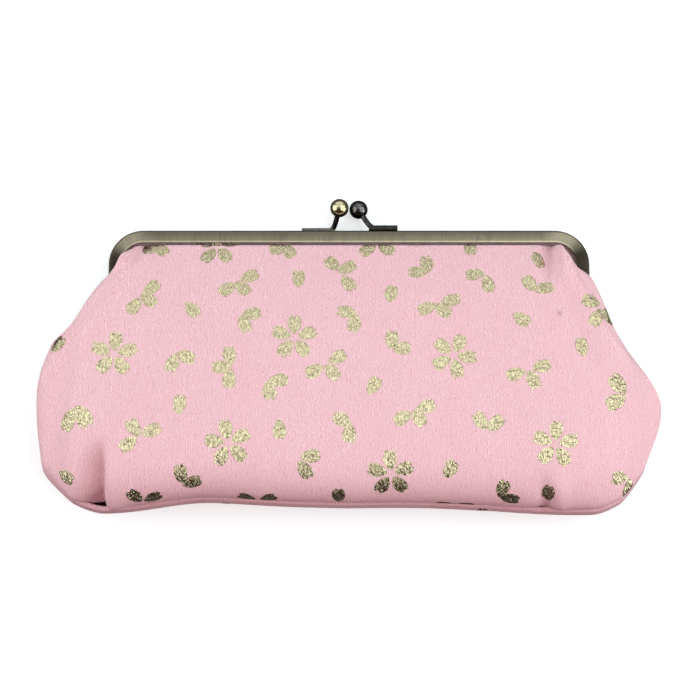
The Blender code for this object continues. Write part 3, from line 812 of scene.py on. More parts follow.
FRONT_RIBS: tuple[Rib, ...] = (
    (0.0, ((-98.7, -32.5, 4.2), (-98.6, -34.0, 4.0), (-98.9, -35.6, 3.5), (-99.6, -37.0, 3.0),
           (-100.4, -38.2, 2.3), (-100.6, -39.0, 1.5))),
    (2.0, ((-98.5, -30.3, 4.4), (-98.4, -31.8, 6.0), (-99.4, -34.5, 6.9), (-101.5, -38.0, 6.4),
           (-102.0, -41.5, 4.0), (-101.2, -42.8, 1.0))),
    (5.0, ((-98.3, -27.0, 4.5), (-98.4, -28.5, 6.9), (-102.0, -31.0, 8.2), (-108.5, -34.5, 7.6),
           (-111.0, -41.0, 5.0), (-107.5, -43.6, 0.6))),
    (9.0, ((-98.2, -22.8, 4.6), (-98.8, -24.0, 6.9), (-105.0, -26.0, 8.0), (-112.5, -29.5, 8.0),
           (-120.5, -39.0, 7.0), (-117.0, -43.0, 0.6))),
    (13.0, ((-98.2, -18.8, 4.6), (-99.0, -20.0, 7.1), (-104.5, -21.0, 8.6), (-110.0, -25.5, 12.0),
            (-124.5, -42.5, 13.0), (-124.5, -47.4, 0.6))),
    (16.5, ((-98.0, -15.5, 4.6), (-98.6, -17.0, 7.3), (-102.0, -18.5, 10.0), (-107.0, -27.0, 15.5),
            (-132.0, -51.0, 19.0), (-133.0, -55.2, 0.5))),
    (28.3, ((-95.8, -9.2, 4.8), (-95.0, -12.0, 7.8), (-97.0, -21.0, 12.0), (-105.5, -40.0, 17.5),
            (-138.4, -66.0, 23.5), (-137.2, -80.0, 0.5))),
    (40.06, ((-90.0, -8.0, 5.2), (-90.0, -15.0, 8.4), (-91.5, -31.0, 13.0), (-101.0, -64.0, 19.0),
             (-136.4, -101.5, 26.5), (-134.8, -105.5, 0.5))),
    (46.0, ((-84.5, -8.5, 5.3), (-85.0, -17.0, 9.2), (-87.0, -35.0, 14.2), (-96.0, -72.0, 20.0),
            (-121.5, -118.2, 25.5), (-122.0, -119.8, 0.5))),
    (55.0, ((-75.0, -9.0, 5.4), (-75.5, -19.5, 9.8), (-78.0, -40.0, 15.0), (-86.0, -78.0, 20.5),
            (-104.5, -122.3, 25.0), (-104.5, -123.9, 0.5))),
    (85.0, ((-45.0, -9.0, 5.4), (-45.3, -21.0, 10.0), (-47.0, -43.0, 15.4), (-52.0, -80.0, 20.3),
            (-57.0, -119.5, 23.5), (-57.0, -120.6, 0.5))),
    (130.06, ((0.0, -9.0, 5.4), (0.0, -21.0, 10.0), (0.0, -43.0, 15.4), (0.0, -80.0, 20.3),
              (0.0, -119.9, 23.5), (0.0, -121.3, 0.5))),
)

BACK_LEG_RIBS: tuple[Rib, ...] = (
    FRONT_RIBS[0],
    (2.0, ((-98.5, -30.3, 4.2), (-98.0, -32.5, 4.5), (-98.2, -36.0, 4.8), (-99.5, -40.5, 4.6),
           (-100.6, -43.6, 3.2), (-101.2, -42.8, 1.2))),
    (5.0, ((-98.0, -27.0, 4.3), (-96.6, -30.0, 4.9), (-96.4, -36.0, 6.0), (-99.5, -44.0, 6.6),
           (-106.0, -48.0, 4.8), (-107.5, -43.8, 1.0))),
    (9.0, ((-97.6, -22.8, 4.4), (-95.2, -27.0, 5.4), (-94.6, -37.0, 7.2), (-100.0, -48.0, 8.8),
           (-115.0, -53.0, 7.5), (-117.0, -43.6, 1.0))),
    (13.0, ((-97.2, -18.8, 4.4), (-94.0, -24.0, 5.8), (-92.5, -38.0, 8.2), (-99.5, -52.5, 10.5),
            (-124.5, -58.5, 10.5), (-124.5, -48.0, 1.0))),
    (16.5, ((-97.0, -15.8, 4.5), (-93.0, -21.0, 6.2), (-90.5, -39.0, 9.2), (-99.0, -57.0, 12.5),
            (-131.5, -65.0, 14.5), (-131.6, -55.0, 0.9))),
    (28.3, ((-95.2, -9.8, 4.7), (-91.5, -15.0, 6.8), (-88.0, -40.0, 10.6), (-97.0, -63.5, 15.5),
            (-136.5, -80.0, 21.0), (-137.2, -80.0, 0.6))),
    (40.06, ((-90.0, -8.0, 5.2), (-90.0, -15.0, 8.0), (-87.5, -40.0, 12.4), (-96.0, -70.0, 18.0),
             (-136.4, -101.5, 25.5), (-134.8, -105.5, 0.6))),
    (46.0, ((-84.5, -8.5, 5.3), (-85.0, -17.0, 9.0), (-83.5, -42.0, 14.0), (-91.0, -77.0, 19.5),
            (-121.5, -118.2, 25.5), (-122.0, -119.8, 0.6))),
)
BACK_RIBS = BACK_LEG_RIBS + FRONT_RIBS[9:]

LINING_RIBS: tuple[Rib, ...] = (
    (0.0, ((-97.5, -32.5, 2.8), (-96.5, -34.0, 2.7), (-96.2, -35.6, 2.4), (-96.2, -37.0, 2.0),
           (-96.3, -38.5, 1.5), (-96.5, -40.0, 1.0))),
    (6.0, ((-96.5, -27.0, 2.9), (-94.0, -31.0, 3.0), (-93.0, -37.0, 3.3), (-94.5, -44.0, 3.7),
           (-98.5, -49.5, 2.8), (-102.0, -48.5, 0.8))),
    (16.5, ((-96.0, -17.5, 3.0), (-91.5, -23.0, 3.7), (-90.0, -35.0, 4.9), (-96.0, -50.0, 6.8),
            (-113.0, -56.5, 6.8), (-118.0, -52.0, 0.6))),
    (28.3, ((-94.0, -11.0, 3.2), (-89.5, -17.0, 4.2), (-87.0, -33.0, 6.4), (-95.5, -56.0, 10.2),
            (-129.0, -74.0, 15.0), (-132.2, -79.0, 0.5))),
    (40.06, ((-89.5, -9.0, 3.6), (-88.0, -17.0, 5.4), (-85.0, -38.0, 8.6), (-93.0, -68.0, 13.6),
             (-129.5, -97.0, 20.0), (-129.5, -102.0, 0.5))),
    (55.0, ((-74.5, -9.5, 3.8), (-74.5, -20.0, 7.0), (-77.0, -40.0, 11.4), (-85.0, -77.0, 16.6),
            (-100.5, -116.0, 20.5), (-100.5, -117.6, 0.5))),
    (130.06, ((0.0, -9.5, 3.8), (0.0, -21.5, 7.4), (0.0, -43.0, 12.4), (0.0, -79.0, 17.2),
              (0.0, -115.5, 20.3), (0.0, -117.2, 0.5))),
)


def channel_line(distance: Array, depth: float) -> Array:
    """Points (x, u) at a depth inside the bow's outer edge, by drafted distance from the left leg's end.

    The leg is straight up, the corner an arc and the bar straight across; inward points inside the bow.

    Args:
        distance: drafted millimetres from the leg's end.
        depth: metres inside the bow's outer edge.

    Returns:
        (n, 2) points in metres.
    """
    bow, half = SIZES.corner_radius, SIZES.half_width
    leg = np.clip(distance / DRAFT_LEG, 0.0, 1.0)
    turn = np.clip((distance - DRAFT_LEG) / DRAFT_BOW, 0.0, 1.0) * math.pi / 2
    bar = np.clip((distance - DRAFT_LEG - DRAFT_BOW) / DRAFT_BAR, 0.0, 1.0)
    inward = np.stack([np.cos(turn), -np.sin(turn)], axis=-1)
    x = -half + bow * (1 - np.cos(turn)) + bar * (half - bow)
    u = -bow + bow * np.sin(turn) - (1 - leg) * (SIZES.channel_end - bow)
    return np.stack([x, u], axis=-1) + inward * depth


def graded(points: Array) -> Array:
    """Drafted pattern points in millimetres as points of this bag in metres.

    Each coordinate is graded piece by piece between named sizes, and past the last one its slope goes on.

    Args:
        points: (..., 3) drafted points.

    Returns:
        As many points, in metres.
    """
    s = SIZES
    actual_x = (0.0, s.half_width - s.channel_face, s.half_width, s.bag_width / 2)
    actual_u = (0.0, s.channel_face, s.channel_end, s.hinge_drop, s.hinge_drop + EAR_RADIUS, s.bag_height)
    actual_w = (0.0, s.face_w, s.puff)

    def grade(value: Array, drafted: tuple[float, ...], actual: tuple[float, ...]) -> Array:
        """One coordinate, graded."""
        slope = (actual[-1] - actual[-2]) / (drafted[-1] - drafted[-2])
        return np.interp(value, drafted, actual) + np.maximum(value - drafted[-1], 0.0) * slope

    x, u, w = np.moveaxis(points, -1, 0)
    return np.stack([-grade(-x, DRAFT_X, actual_x), -grade(-u, DRAFT_U, actual_u),
                     grade(w, DRAFT_W, actual_w)], axis=-1)


def smooth_between(stations: Array, values: Array, at: Array) -> Array:
    """Cubic pieces between the stations, which never overshoot them.

    A tangent is the harmonic mean of the slopes on both sides, and level at a turn.

    Args:
        stations: (n,) rising places.
        values: (n, m) values there.
        at: (k,) places asked for.

    Returns:
        (k, m) values.
    """
    step = np.diff(stations)[:, None]
    slope = np.diff(values, axis=0) / step
    product = slope[:-1] * slope[1:]
    total = np.where(slope[:-1] + slope[1:] == 0, 1.0, slope[:-1] + slope[1:])
    tangent = np.concatenate([slope[:1], np.where(product > 0, 2 * product / total, 0.0), slope[-1:]])
    cell = np.clip(np.searchsorted(stations, at, side="right") - 1, 0, len(stations) - 2)
    width = step[cell]
    t = (at - stations[cell])[:, None] / width
    return (
        (1 + 2 * t) * (1 - t) ** 2 * values[cell]
        + t * (1 - t) ** 2 * width * tangent[cell]
        + t * t * (3 - 2 * t) * values[cell + 1]
        + t * t * (t - 1) * width * tangent[cell + 1]
    )


def spline_weights(count: int, at: Array) -> Array:
    """Weights of a clamped cubic B-spline's control points, raised degree by degree from steps.

    Args:
        count: how many control points.
        at: (k,) parameters from 0 to 1.

    Returns:
        (k, count) weights.
    """
    knots = np.concatenate([np.zeros(3), np.linspace(0, 1, count - 2), np.ones(3)])
    at = np.minimum(at, 1 - 1e-9)
    basis = [((at >= low) & (at < high)).astype(float) for low, high in zip(knots[:-1], knots[1:])]
    for degree in (1, 2, 3):
        for i in range(len(basis) - 1):
            rise = knots[i + degree] - knots[i]
            fall = knots[i + degree + 1] - knots[i + 1]
            left = (at - knots[i]) / rise * basis[i] if rise > 0 else 0.0
            right = (knots[i + degree + 1] - at) / fall * basis[i + 1] if fall > 0 else 0.0
            basis[i] = left + right
        basis.pop()
    return np.stack(basis, axis=-1)


@dataclass(frozen=True)
class Fold:
    """A crease or a swell: a line in the bag's plane with a reach of its own on either side."""

    start: Pair
    end: Pair
    height: float
    left: float
    right: float
    taper: Pair = (0.25, 0.25)

    def lift(self, x: Array, u: Array) -> Array:
        """Height over the surface in metres, for points given in metres.

        Across the line it falls off as exp(-(d / reach)^2); along it, it fades in and out over the taper.

        Args:
            x: across, in metres.
            u: up, in metres.

        Returns:
            Heights in metres.
        """
        a, b = np.array(self.start) * MM, np.array(self.end) * MM
        length = np.linalg.norm(b - a)
        along = (b - a) / length
        t = ((x - a[0]) * along[0] + (u - a[1]) * along[1]) / length
        side = (x - a[0]) * -along[1] + (u - a[1]) * along[0]
        reach = np.where(side > 0, self.left, self.right) * MM
        fade_in = eased(t, -self.taper[0], self.taper[0])
        fade_out = 1 - eased(t, 1 - self.taper[1], 1 + self.taper[1])
        return self.height * MM * bell(side, reach) * fade_in * fade_out


# For a line drawn downwards, left of it is the +x side
FRONT_FOLDS: tuple[Fold, ...] = (
    Fold((88.4, -2.0), (86.0, -20.0), -3.2, 1.8, 2.6, (0.001, 0.60)),
    Fold((93.4, -4.0), (92.0, -26.0), 2.4, 4.5, 3.0, (0.2, 0.5)),
    Fold((82.0, -8.0), (79.0, -24.0), 0.7, 3.0, 4.0, (0.3, 0.5)),
    Fold((-89.5, -1.0), (-94.0, -14.0), -1.8, 2.0, 3.5, (0.001, 0.5)),
    Fold((-121.0, -46.0), (-126.5, -106.0), -3.0, 5.4, 6.0, (0.4, 0.2)),
    Fold((-104.2, -99.0), (-105.0, -127.0), -7.2, 1.5, 7.0, (0.35, 0.001)),
    Fold((-101.6, -99.0), (-102.2, -127.0), 2.0, 6.5, 1.5, (0.35, 0.001)),
    Fold((-114.0, -103.0), (-117.0, -126.0), 1.2, 3.5, 4.5, (0.4, 0.2)),
    Fold((82.0, -110.0), (84.5, -126.0), -2.2, 2.2, 3.6, (0.4, 0.001)),
    Fold((88.5, -111.0), (91.0, -126.0), 1.0, 3.0, 3.0, (0.4, 0.001)),
    Fold((112.0, -60.0), (118.0, -104.0), -0.8, 7.0, 7.0, (0.3, 0.3)),
    Fold((98.0, -30.0), (104.0, -66.0), -0.6, 5.0, 5.0, (0.4, 0.4)),
)


@dataclass(frozen=True)
class Dip:
    """A place along the channel where the cloth dips deeper on its way out.

    The place runs along the bow from its middle, to the right; all values are in millimetres.
    """

    place: float
    reach: float
    depth: float
    run: float

    def share(self, place: Array, run: Array) -> Array:
        """The depth here: a bell curve of the place times one of the run down the cloth."""
        return self.depth * bell(place, self.reach, self.place) * bell(run, self.run)


@dataclass(frozen=True)
class Mouth:
    """How the cloth leaves the channel: a shallow dip all along, deeper ones, and a puff at the left corner.

    All values are in millimetres, but for the shares of the puff and the pull that go across and up.
    """

    groove: float = 3.3
    groove_run: float = 0.42
    lining_groove: float = 1.6
    dips: tuple[Dip, ...] = (Dip(105.0, 12.0, 3.4, 2.0), Dip(88.5, 2.4, 1.6, 5.0), Dip(-89.0, 2.6, 1.8, 3.0),
                             Dip(-62.0, 3.0, 0.4, 4.0), Dip(30.0, 4.0, 0.4, 4.0))
    pull: Dip = Dip(104.0, 9.5, 3.0, 4.2)
    puff_place: float = -108.0
    puff_reach: float = 9.0
    puff_out: float = 2.8
    puff_up: float = 2.6
    puff_run: Pair = (4.5, 3.6)
    puff_start: Pair = (0.3, 1.5)
    way: Pair = (0.75, 0.65)

    def apply(self, grid: Array, around: Array) -> Array:
        """Shape the rows next to the channel.

        Args:
            grid: the panel's outer face (rows, columns, 3), its second row at the channel's mouth.
            around: each column's place along the bow, in metres from the middle.

        Returns:
            The grid, lowered by bell curves of the run down the cloth and of the place along the bow, drawn
            in at the right corner and puffed outwards and upwards at the left one in the same way.
        """
        run = travelled(grid)
        run, place = np.maximum(run - run[1], 0.0) / MM, around / MM
        drop = self.groove * bell(run, self.groove_run) + sum(dip.share(place, run) for dip in self.dips)
        pull = self.pull.share(place, run)
        drop[0], pull[0] = 0.0, 0.0
        puff = bell(place, self.puff_reach, self.puff_place) * eased(run, *self.puff_start)
        puff = puff * bell(run, self.puff_run[1], self.puff_run[0])
        moved = grid.copy()
        moved[..., 0] -= self.way[0] * (self.puff_out * puff + pull) * MM
        moved[..., 1] += self.way[1] * (self.puff_out * puff - pull) * MM
        moved[..., 2] += (self.puff_up * puff - drop) * MM
        return moved


@dataclass(frozen=True)
class SideSlack:
    """How one side slumps.

    It loses shares of its overhang at the shoulder and at the low corner, over spans of the height, and its
    end falls away with a bend, by so many metres at most.
    """

    shoulder: float
    shoulder_span: Pair
    corner: float
    corner_span: Pair
    end_bend: float
    end_most: float

    def share(self, drop: Array) -> Array:
        """The share at each drop below the frame's top, as a part of the bag's height."""
        high, low = 1 - eased(drop, *self.shoulder_span), eased(drop, *self.corner_span)
        return self.shoulder * high + self.corner * low


@dataclass(frozen=True)
class Slump:
    """How the resting pouch departs from its even pattern."""

    left: SideSlack = SideSlack(0.15, (0.30, 0.42), 0.15, (0.84, 0.99), 2.8, 0.0045)
    right: SideSlack = SideSlack(0.52, (0.33, 0.66), 0.26, (0.66, 0.98), 6.0, 0.0100)
    sway: float = 0.0018
    sway_place: float = 0.066
    sway_reach: float = 0.028
    sway_span: Pair = (0.45, 1.0)
    end_start: float = 0.072
    end_heights: Pair = (0.004, 0.020)

    def apply(self, points: Array) -> Array:
        """Draw in what overhangs the frame, sway the low seam and let the puffed ends fall away.

        The seam sways down on the right and up on the left, and the ends fall as a parabola of their distance
        past a start.

        Args:
            points: (..., 3) points of a panel in the bag's plane.

        Returns:
            As many points.
        """
        x, drop = points[..., 0], -points[..., 1] / SIZES.bag_height
        swaying = self.sway * eased(drop, *self.sway_span)
        puffed = eased(points[..., 2], *self.end_heights)
        moved = points.copy()
        for side, slack in ((-1, self.left), (1, self.right)):
            moved[..., 0] -= side * np.maximum(side * x - SIZES.half_width, 0.0) * slack.share(drop)
            moved[..., 1] -= side * swaying * bell(x, self.sway_reach, side * self.sway_place)
            past = np.maximum(side * moved[..., 0] - self.end_start, 0.0)
            moved[..., 2] -= np.minimum(slack.end_bend * past**2 / 2, slack.end_most) * puffed
        return moved


def stations(columns: tuple[int, int, int], spread: float = 1.15) -> Array:
    """Drafted distances of the left half's columns: along the leg, round the corner and across the bar.

    The bar's columns widen towards its middle as a power of their number.

    Args:
        columns: how many columns the leg, the corner and half the bar take.
        spread: that power.

    Returns:
        Drafted millimetres from the leg's end.
    """
    return np.concatenate([
        np.linspace(0, DRAFT_LEG, columns[0] + 1)[:-1],
        DRAFT_LEG + DRAFT_BOW * np.linspace(0, 1, columns[1] + 1)[:-1],
        DRAFT_LEG + DRAFT_BOW + DRAFT_BAR * np.linspace(0, 1, columns[2] + 1) ** spread,
    ])


def places_along(columns: tuple[int, int, int]) -> Array:
    """Each column's place along the bow in metres, from the middle of the bar to the right."""
    half = (stations(columns) - (DRAFT_LEG + DRAFT_BOW + DRAFT_BAR)) * MM
    return np.concatenate([half, -half[-2::-1]])


def panel_grid(ribs: tuple[Rib, ...], depth_w: float, columns: tuple[int, int, int], rows: int) -> Array:
    """The outer face of a panel as a grid (rows, columns, 3) in the bag's plane.

    Each column is a clamped cubic B-spline that its rib's points pull. The first row lies deep in the channel
    and the second at its mouth.

    Args:
        ribs: the ribs, from the leg's end to the middle of the bar.
        depth_w: how far the panel in the channel stands off the mid-plane.
        columns: how many columns the leg, the corner and half the bar take.
        rows: how many rows below the mouth.

    Returns:
        The grid in metres.
    """
    levels = np.array([rib[0] for rib in ribs])
    pulls = np.array([rib[1] for rib in ribs], float)
    half = stations(columns)
    weights = spline_weights(pulls.shape[1] + 1, np.linspace(0, 1, rows + 1))
    deep, start = (np.insert(channel_line(half, depth), 2, depth_w, axis=-1)
                   for depth in (SIZES.sheet + SIZES.fit, SIZES.channel_face + SIZES.mouth_ease))
    control = [start] + [graded(smooth_between(levels, pulls[:, k], half)) for k in range(pulls.shape[1])]
    surface = np.einsum("rk,kcd->rcd", weights, np.stack(control))
    left = np.concatenate([deep[None], surface])
    right = left[:, -2::-1] * np.array([-1.0, 1.0, 1.0])
    return Slump().apply(np.concatenate([left, right], axis=1))


def grid_normals(points: Array) -> Array:
    """Unit normals of a grid, from its central differences."""
    return unit(np.cross(np.gradient(points, axis=0), np.gradient(points, axis=1)))


def blurred(values: Array, reach: tuple[int, int]) -> Array:
    """Running mean of a grid, its border values repeated.

    Args:
        values: (rows, columns, ...) values.
        reach: how many rows and columns to each side.

    Returns:
        As many values.
    """
    for axis, count in enumerate(reach):
        pad = [(0, 0)] * values.ndim
        pad[axis] = (count + 1, count)
        total = np.cumsum(np.pad(values, pad, mode="edge"), axis=axis)
        width = 2 * count + 1
        high = np.take(total, range(width, total.shape[axis]), axis=axis)
        low = np.take(total, range(total.shape[axis] - width), axis=axis)
        values = (high - low) / width
    return values


@dataclass(frozen=True)
class FlatLay:
    """How a draped grid is laid out flat again, to find where each point lies on the uncut cloth."""

    rounds: int = 300
    step_share: float = 0.24
    blur_every: int = 5
    blur_reach: tuple[int, int] = (3, 3)
    heading_reach: tuple[int, int] = (5, 4)

    def lay(self, points: Array) -> Array:
        """Relax towards the draped lengths in a plane.

        Each column starts as a run of its own step lengths along its smoothed heading seen from above. Then
        every round moves the ends of each edge and diagonal by a share of what its length is off, all edges
        of a kind at once, and now and then the moves made so far are blurred, so that neighbours stay in
        order.

        Args:
            points: the draped grid (rows, columns, 3).

        Returns:
            The flat grid (rows, columns, 2) in metres.
        """
        step = np.diff(points.astype(np.float64), axis=0)
        heading = step[..., :2].copy()
        heading[0] = heading[1]
        heading[-3:] = heading[-4]
        run = unit(blurred(heading, self.heading_reach)) * np.linalg.norm(step, axis=-1, keepdims=True)
        start = np.concatenate([np.zeros_like(run[:1]), np.cumsum(run, axis=0)]) - run[:1]
        start += points[1:2, :, :2]
        flat = start.copy()
        links = [(np.s_[:, :-1], np.s_[:, 1:]), (np.s_[:-1], np.s_[1:]),
                 (np.s_[:-1, :-1], np.s_[1:, 1:]), (np.s_[:-1, 1:], np.s_[1:, :-1])]
        lengths = [np.linalg.norm(points[b] - points[a], axis=-1, keepdims=True) for a, b in links]
        for turn in range(1, self.rounds + 1):
            if turn % self.blur_every == 0:
                flat = start + blurred(flat - start, self.blur_reach)
            for (a, b), length in zip(links, lengths):
                edge = flat[b] - flat[a]
                reach = np.maximum(np.linalg.norm(edge, axis=-1, keepdims=True), 1e-9)
                move = edge * (1 - length / reach) * self.step_share
                shift = np.zeros_like(flat)
                shift[a] += move
                shift[b] -= move
                flat += shift
        return flat


def sample(grid: Array, at: Array) -> Array:
    """Bilinear value of a grid at fractional (row, column) places.

    Args:
        grid: (rows, columns, m) values.
        at: (n, 2) places, row and column.

    Returns:
        (n, m) values.
    """
    rows, columns = grid.shape[:2]
    r = np.clip(at[:, 0], 0, rows - 1.000001)
    c = np.clip(at[:, 1], 0, columns - 1.000001)
    i, j = r.astype(int), c.astype(int)
    p, q = (r - i)[:, None], (c - j)[:, None]
    return ((1 - p) * (1 - q) * grid[i, j] + p * (1 - q) * grid[i + 1, j]
            + (1 - p) * q * grid[i, j + 1] + p * q * grid[i + 1, j + 1])


def locate(grid: Array, targets: Array, usable: Array) -> Array:
    """Fractional (row, column) at which a grid of 2-D values takes each target value.

    Starts at the nearest usable grid point and takes steps by the bilinear slope, each of two cells at
    most.

    Args:
        grid: (rows, columns, 2) values.
        targets: (n, 2) values to find.
        usable: whether each grid point may be the nearest one.

    Returns:
        (n, 2) places.
    """
    steps, longest, flattest = 6, 2.0, 1e-14
    values = grid.reshape(-1, 2)
    allowed = np.flatnonzero(usable)
    gap = ((values[allowed][None] - targets[:, None]) ** 2).sum(-1)
    at = np.stack(np.unravel_index(allowed[gap.argmin(axis=1)], grid.shape[:2]), axis=-1).astype(float)
    for _ in range(steps):
        miss = targets - sample(grid, at)
        down = sample(grid, at + (0.5, 0.0)) - sample(grid, at - (0.5, 0.0))
        right = sample(grid, at + (0.0, 0.5)) - sample(grid, at - (0.0, 0.5))
        area = down[:, 0] * right[:, 1] - down[:, 1] * right[:, 0]
        area = np.where(np.abs(area) < flattest, flattest, area)
        rows = (miss[:, 0] * right[:, 1] - miss[:, 1] * right[:, 0]) / area
        columns = (down[:, 0] * miss[:, 1] - down[:, 1] * miss[:, 0]) / area
        at = at + np.clip(np.stack([rows, columns], axis=-1), -longest, longest)
    return at


# Blossoms of the print, placed by pixels of the photograph


@dataclass(frozen=True)
class Blossom:
    """A whole five-petalled blossom: its middle in the photograph and the angle of its first petal."""

    x: float
    y: float
    angle: float = 90.0


@dataclass(frozen=True)
class Spray:
    """Loose petals that meet at one point, in pixels of the photograph, and their size against the usual."""

    meet: Pair
    petals: tuple[Pair, ...]
    size: float = 1.0


BLOSSOMS = tuple(Blossom(*row) for row in (
    (114.2, 354.0, 87), (217.1, 246.0, 90), (294.2, 337.4, 89), (228.0, 443.0, 100), (453.5, 355.4, 66),
    (555.4, 444.2, 85), (390.7, 473.9, 93),
))

SPRAYS = tuple(Spray(*row) for row in (
    ((141.4, 294.8), ((151.5, 287.7), (148.3, 299.7), (134.2, 306.2))),
    ((236.1, 281.8), ((249.7, 276.3), (242.6, 287.7), (227.4, 288.8))),
    ((241.0, 314.5), ((251.8, 313.6), (244.3, 323.5))), ((176.5, 352.8), ((172.7, 362.6), (186.2, 356.6))),
    ((231.0, 366.4), ((229.6, 355.5), (221.5, 366.9), (229.1, 378.8))),
    ((340.0, 272.0), ((332.6, 264.0), (347.0, 268.0), (348.0, 283.0))),
    ((356.5, 313.5), ((346.6, 312.0), (354.4, 323.0))), ((428.5, 271.5), ((426.9, 264.0), (417.8, 271.9))),
    ((435.7, 304.0), ((427.0, 308.0), (443.0, 309.8), (451.0, 300.4))),
    ((391.0, 348.8), ((391.8, 339.5), (401.8, 348.2))),
    ((325.7, 364.7), ((314.5, 370.5), (337.6, 357.5), (332.0, 371.8))),
    ((266.7, 380.7), ((278.6, 380.3), (269.2, 391.0))), ((297.7, 459.1), ((304.6, 469.9), (310.5, 456.3))),
    ((350.7, 423.9), ((342.0, 419.8), (349.2, 433.0))),
    ((413.0, 410.6), ((426.2, 406.7), (402.6, 417.6), (418.8, 418.2))),
    ((486.6, 431.0), ((480.8, 420.8), (495.3, 423.6))), ((486.0, 273.5), ((475.0, 274.5), (488.0, 284.0))),
    ((534.7, 290.5), ((529.8, 283.6), (544.0, 288.2))),
    ((528.2, 370.3), ((516.0, 373.8), (541.5, 366.4), (533.0, 379.5))),
    ((627.0, 396.0), ((618.4, 384.6), (616.0, 401.6)), 1.18),
    ((139.5, 435.8), ((134.0, 427.8), (151.2, 430.4), (128.3, 443.8))),
    ((75.5, 405.0), ((68.4, 420.0), (82.6, 416.2)), 1.25),
    ((182.6, 485.0), ((180.8, 473.7), (191.8, 482.2))), ((142.3, 501.8), ((135.2, 496.8), (152.8, 497.6))),
    ((257.5, 503.0), ((247.0, 497.5), (268.0, 498.5))), ((499.5, 496.5), ((502.6, 489.0), (509.8, 498.6))),
    ((629.5, 477.5), ((619.7, 478.0), (628.3, 488.0))),
    ((603.0, 306.0), ((590.8, 301.5), (596.6, 317.5), (609.0, 316.5), (600.5, 295.5))),
    ((376.0, 243.0), ((368.0, 249.4), (386.0, 248.6))), ((284.0, 242.0), ((276.5, 247.0), (288.5, 250.5))),
    ((150.0, 243.0), ((160.7, 249.0), (148.8, 247.5))), ((470.0, 239.0), ((470.5, 247.2),)),
    ((455.0, 513.0), ((447.0, 506.5), (464.0, 508.8))), ((187.2, 303.4), ((192.2, 309.4),)),
    ((298.6, 286.0), ((298.6, 278.6),)), ((389.5, 301.0), ((391.0, 293.8),)),
    ((515.0, 315.0), ((521.2, 318.9),)), ((534.5, 253.0), ((538.5, 259.6),)),
    ((53.0, 350.0), ((57.2, 344.5),)), ((178.5, 412.0), ((179.6, 404.5),)),
    ((279.0, 421.0), ((279.4, 429.4),)), ((370.0, 391.5), ((373.5, 385.5),)),
    ((584.0, 356.0), ((582.0, 347.0),)), ((446.5, 475.5), ((450.2, 469.3),)),
    ((60.0, 473.0), ((65.8, 477.0),)), ((338.5, 503.0), ((338.5, 496.0),)),
    ((547.8, 500.5), ((548.5, 493.4),)),
))


@dataclass(frozen=True)
class PetalShape:
    """One notched petal as a disc of rings: sizes in metres, the notch at its outer end.

    The notch, the two lobes beside it and the petal's own swell and taper are shares of its radius, and the
    notch's and the lobes' places and widths are angles.
    """

    length: float = 8.6 * MM
    width: float = 5.7 * MM
    reach: float = 5.85 * MM
    notch: float = 0.20
    notch_width: float = 0.30
    lobe: float = 0.05
    lobe_place: float = 0.42
    lobe_width: float = 0.25
    outer_swell: float = 0.12
    inner_taper: float = 0.42
    power: float = 2.35
    rings: int = 5
    sectors: int = 32

    @property
    def shares(self) -> Array:
        """Size of each ring against the outline, from the innermost one to 1."""
        return np.linspace(1, 0, self.rings, endpoint=False)[::-1]

    def points(self) -> Array:
        """The petal's points, x outwards from the blossom's middle.

        The outline is a superellipse, widened towards the outer end and narrowed towards the inner one, and
        cut by a V between two lobes at the outer end; the rings are the outline scaled down to the middle.

        Returns:
            (rings * sectors + 1, 2) points in metres.
        """
        angle = np.linspace(0, 2 * math.pi, self.sectors, endpoint=False)
        off_notch = np.abs((angle + math.pi) % (2 * math.pi) - math.pi)
        cut = self.notch * np.clip(1 - off_notch / self.notch_width, 0, 1)
        lobe = self.lobe * np.clip(1 - np.abs(off_notch - self.lobe_place) / self.lobe_width, 0, 1)
        round_off = np.abs(np.cos(angle)) ** self.power + np.abs(np.sin(angle)) ** self.power
        radius = round_off ** (-1 / self.power) * (1 - cut + lobe)
        x = np.cos(angle) * radius
        y = np.sin(angle) * radius * (1 + self.outer_swell * x - self.inner_taper * np.maximum(-x, 0.0) ** 2)
        outline = np.stack([x * self.length / 2, y * self.width / 2], axis=-1)
        return np.concatenate([np.zeros((1, 2)), (self.shares[:, None, None] * outline).reshape(-1, 2)])

    def rim(self) -> Array:
        """How near to the outline each point is, 0 in the middle to 1 on it."""
        return np.concatenate([[0.0], np.repeat(self.shares, self.sectors)])

    def faces(self) -> list[list[int]]:
        """A fan round the middle and bands of quads out to the outline."""
        ring = grid_faces(self.rings, self.sectors, wrap=True) + 1
        fan = [[0, 1 + k, 1 + (k + 1) % self.sectors] for k in range(self.sectors)]
        return fan + ring.tolist()


